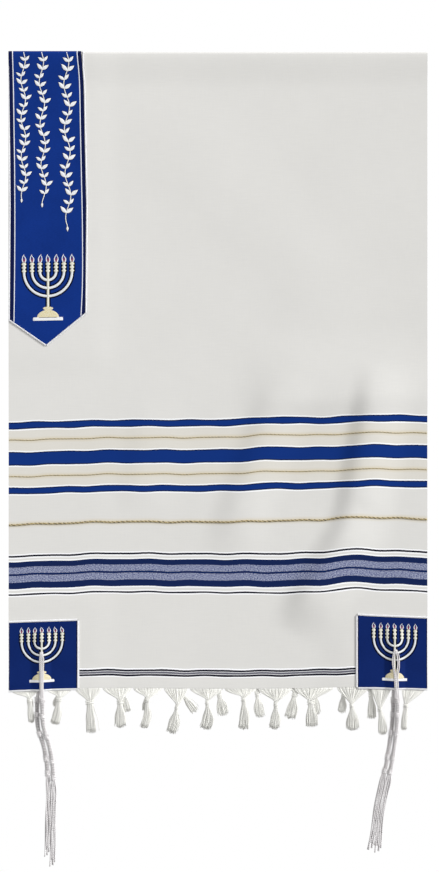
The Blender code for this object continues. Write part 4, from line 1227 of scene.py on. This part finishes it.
def loop_strings(side, sign, knot):
    """Four strings from the first knot up behind the hem, through the hole and down over the patch."""
    hem = HEM_DROPS[side]
    facing = 1 if side == "front" else -1
    centre = sign * HOLE_ACROSS
    lane = centre + facing * LANE_OFFSET
    inside = -(HALF_CLOTH + SEAM_GAP + STRING_BUNDLE / 2)
    outside = PATCH_TOP + 0.0001 + LOOP_RADIUS
    share = np.linspace(0, 1, 12)
    drops = np.linspace(hem - HOLE_ABOVE_HEM, hem, 12)
    handle = np.array([0, 0.004, 0])
    drape = np.linspace(0, 1, 7)[1:]
    routes = []
    for k in range(4):
        offset = (k - 1.5) * LOOP_RADIUS * 2.05
        behind_x = lane + offset * 0.45
        behind = cloth_place(np.full(12, behind_x), s_at(drops[::-1], side), inside)
        middle = mix(mix(lane, centre, 0.5), knot[0], 0.35 * share**2)
        over_x = middle + offset * np.interp(share, (0.0, 0.15, 1.0), (0.6, 1.0, 0.75))
        parting = LOOP_PARTING[sign] * np.sin(math.pi * np.minimum(share * 1.5, 1.0))
        over_x = over_x + math.copysign(1, offset) * (parting if side == "front" else 0.0)
        over = cloth_place(over_x, s_at(drops, side), outside + (0.0005 if k in (1, 2) else 0.0))
        through = (behind[-1] + over[0]) / 2 + np.array([0, 0.0006, 0])
        end = knot + np.array([offset * 0.7, -0.0008, 0.0010 * facing])
        past = bezier((over[-1], over[-1] - handle, end + handle, end), drape)
        rear_end = knot + np.array([offset * 0.5, -0.0008, -0.0010 * facing])
        before = bezier((rear_end, rear_end + handle, behind[0] - handle, behind[0]), drape - drape[0])
        line = np.concatenate([before, behind, [through], over, past])
        thin = np.full(len(line), LOOP_RADIUS)
        thin[:len(before) + len(behind)] = STRING_BUNDLE / 2
        routes.append((line, thin))
    return routes


def winding_routes(at, length, wound):
    """Two strings wound side by side round the core, from the first knot to the last."""
    routes = []
    steps = int(wound / WINDING_PITCH * 12)
    shares = np.linspace(0, wound / length, steps)
    centre = at(shares)
    along = unit(np.gradient(centre, axis=0))
    across = unit(np.cross(along, (0, 0, 1)))
    up = np.cross(across, along)
    turn = math.tau * shares * length / WINDING_PITCH
    radius = WINDING_RADIUS - STRING_RADIUS + 0.00018 * np.sin(turn / 5.3)
    for phase in (0.0, math.pi):
        ring = across * np.cos(turn + phase)[:, None] + up * np.sin(turn + phase)[:, None]
        routes.append((centre + ring * radius[:, None], STRING_RADIUS))
    # The core under the windings is coloured dark as painted shade, seen in the gaps between turns
    core = at(np.linspace(0, wound / length, 30))
    return routes, (core, WINDING_RADIUS - STRING_RADIUS * 1.7)


def strand_routes(at, length, side, sign):
    """The eight loose strings below the last knot."""
    routes = []
    pitch = STRAND_PITCH[sign]
    lean = STRAND_LEAN[sign] * (-1 if side == "front" else 1)
    for k in range(2 * STRANDS_ACROSS):
        lane = k % STRANDS_ACROSS - (STRANDS_ACROSS - 1) / 2
        layer = k // STRANDS_ACROSS
        last = 1.0 - STRAND_ENDS[(k * 3) % 4] / length
        shares = np.linspace(WOUND_SHARE, last, 22)
        line = at(shares)
        t = np.linspace(0, 1, 22)
        phase = random.uniform(0, math.tau)
        opened = smooth(t * 6)
        sway = 0.00055 * np.sin(phase + t * random.uniform(7, 12)) * opened
        spread = lane * mix(0.0011, pitch, opened) + (layer - 0.5) * pitch / 2 * opened
        line[:, 0] += spread + lean * smooth(t * 2.5) + sway
        lying = STRAND_RADIUS + 0.0004 + layer * STRAND_LAYER + 0.0002 * np.sin(phase * 2 + t * 15)
        line[:, 2] = mix(line[:, 2] + (layer - 0.5) * 0.0013, lying, opened)
        routes.append((line, STRAND_RADIUS))
    return routes


def build_tzitzit(side, sign, finish, core_shade_finish):
    corner = f"{side}_{HANDS[sign]}"
    at, length = route_curve(corner, side)
    wound = length * WOUND_SHARE
    start = at(0.0)[0]
    routes = loop_strings(side, sign, start)
    windings, core = winding_routes(at, length, wound)
    routes += windings
    for share in DOUBLE_KNOTS:
        middle = share * WOUND_SHARE
        here = at(middle)[0]
        down = unit(at(min(1.0, middle + 0.01))[0] - at(max(0.0, middle - 0.01))[0])
        across = unit(np.cross(down, (0, 0, 1)))
        size = (DOUBLE_KNOT_ACROSS, DOUBLE_KNOT_UP, STRING_RADIUS * 1.15)
        routes += knot_routes(here, down, across, *size, loops=4)
    routes += strand_routes(at, length, side, sign)
    made = tubes(f"tzitzit_strings_{corner}", routes, finish, 5)
    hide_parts(f"tzitzit_{corner}")
    # The dark core is painted shade showing between the winding's turns
    tubes(f"tzitzit_core_shade_{corner}", [core], core_shade_finish, 8)


# Setting

def build_stage():
    mesh = bpy.data.meshes.new("white_sweep")
    spots = [(x * SWEEP_HALF_WIDTH, y * SWEEP_HALF_WIDTH, 0) for x, y in ((-1, -1), (1, -1), (1, 1), (-1, 1))]
    mesh.from_pydata(spots, [], [(0, 1, 2, 3)])
    mesh.materials.append(floor_finish())
    sweep = bpy.data.objects.new("white_sweep", mesh)
    sweep.location.z = -0.0002
    bpy.context.scene.collection.objects.link(sweep)
    world = bpy.data.worlds.new("studio")
    world.use_nodes = True
    sky = world.node_tree.nodes["Background"].inputs
    sky["Color"].default_value = (1.0, 1.0, 1.0, 1)
    sky["Strength"].default_value = WORLD_STRENGTH
    bpy.context.scene.world = world
    key = bpy.data.lights.new("key", "SUN")
    key.angle = math.radians(SUN_ANGLE)
    key.energy = SUN_STRENGTH
    add_light(key, SUN_PLACE)
    fill = bpy.data.lights.new("fill", "AREA")
    fill.size = FILL_SIZE
    fill.energy = FILL_POWER
    add_light(fill, FILL_PLACE)


def add_light(data, place):
    """A light at a place, aimed at the origin."""
    made = bpy.data.objects.new(data.name, data)
    made.location = place
    made.rotation_euler = (-made.location).to_track_quat("-Z", "Y").to_euler()
    bpy.context.scene.collection.objects.link(made)


def build_camera():
    """Straight down, framed as the photograph is."""
    data = bpy.data.cameras.new("camera")
    data.lens = CAMERA_LENS_MM
    data.sensor_fit = "VERTICAL"
    data.sensor_height = 36
    made = bpy.data.objects.new("camera", data)
    seen_height = PIXELS[1] * METRES_PER_PIXEL
    made.location = (*VIEW_CENTRE, seen_height * CAMERA_LENS_MM / data.sensor_height + 0.005)
    bpy.context.scene.collection.objects.link(made)
    scene = bpy.context.scene
    scene.camera = made
    scene.render.resolution_x, scene.render.resolution_y = PIXELS
    scene.view_settings.view_transform = "Standard"


looks = bpy.data.collections.new("tallit_prayer_shawl_looks")
bpy.context.scene.collection.children.link(looks)

shawl = build_shawl()
neckband = build_neckband()
satins = {}
for sign, hand in HANDS.items():
    name = f"corner_patch_satin_{hand}"
    satins[sign] = satin_finish(name, PATCH_BLUE, PATCH_BORDER, PATCH_BORDER_WIDTH, PATCH_WIDTHS[sign])
patches = {patch_node(side, sign): build_patch(side, sign, satins[sign]) for side, sign in CORNERS}
carried = build_embroidery(patches, neckband)
gold_threads = build_gold_threads()
fringe_yarn = yarn_finish("fringe_yarn", FRINGE_WHITE, 0.0026, depth=0.26, uneven=0.30)
fringes = [
    build_fringe("front", FRONT_FRINGE, FRONT_KNOT_Z, fringe_yarn),
    build_fringe("back", BACK_FRINGE, BACK_KNOT_Z, fringe_yarn),
]
tzitzit_yarn = yarn_finish("tzitzit_yarn", TZITZIT_WHITE, 0.0024, depth=0.5, uneven=0.24)
# Painted shade: a dark yarn for the cores under the windings
tzitzit_core_shade = yarn_finish("tzitzit_core_shade", TZITZIT_CORE_SHADE, 0.0024, depth=0.3)
for side, sign in CORNERS:
    build_tzitzit(side, sign, tzitzit_yarn, tzitzit_core_shade)

build_stage()
build_camera()
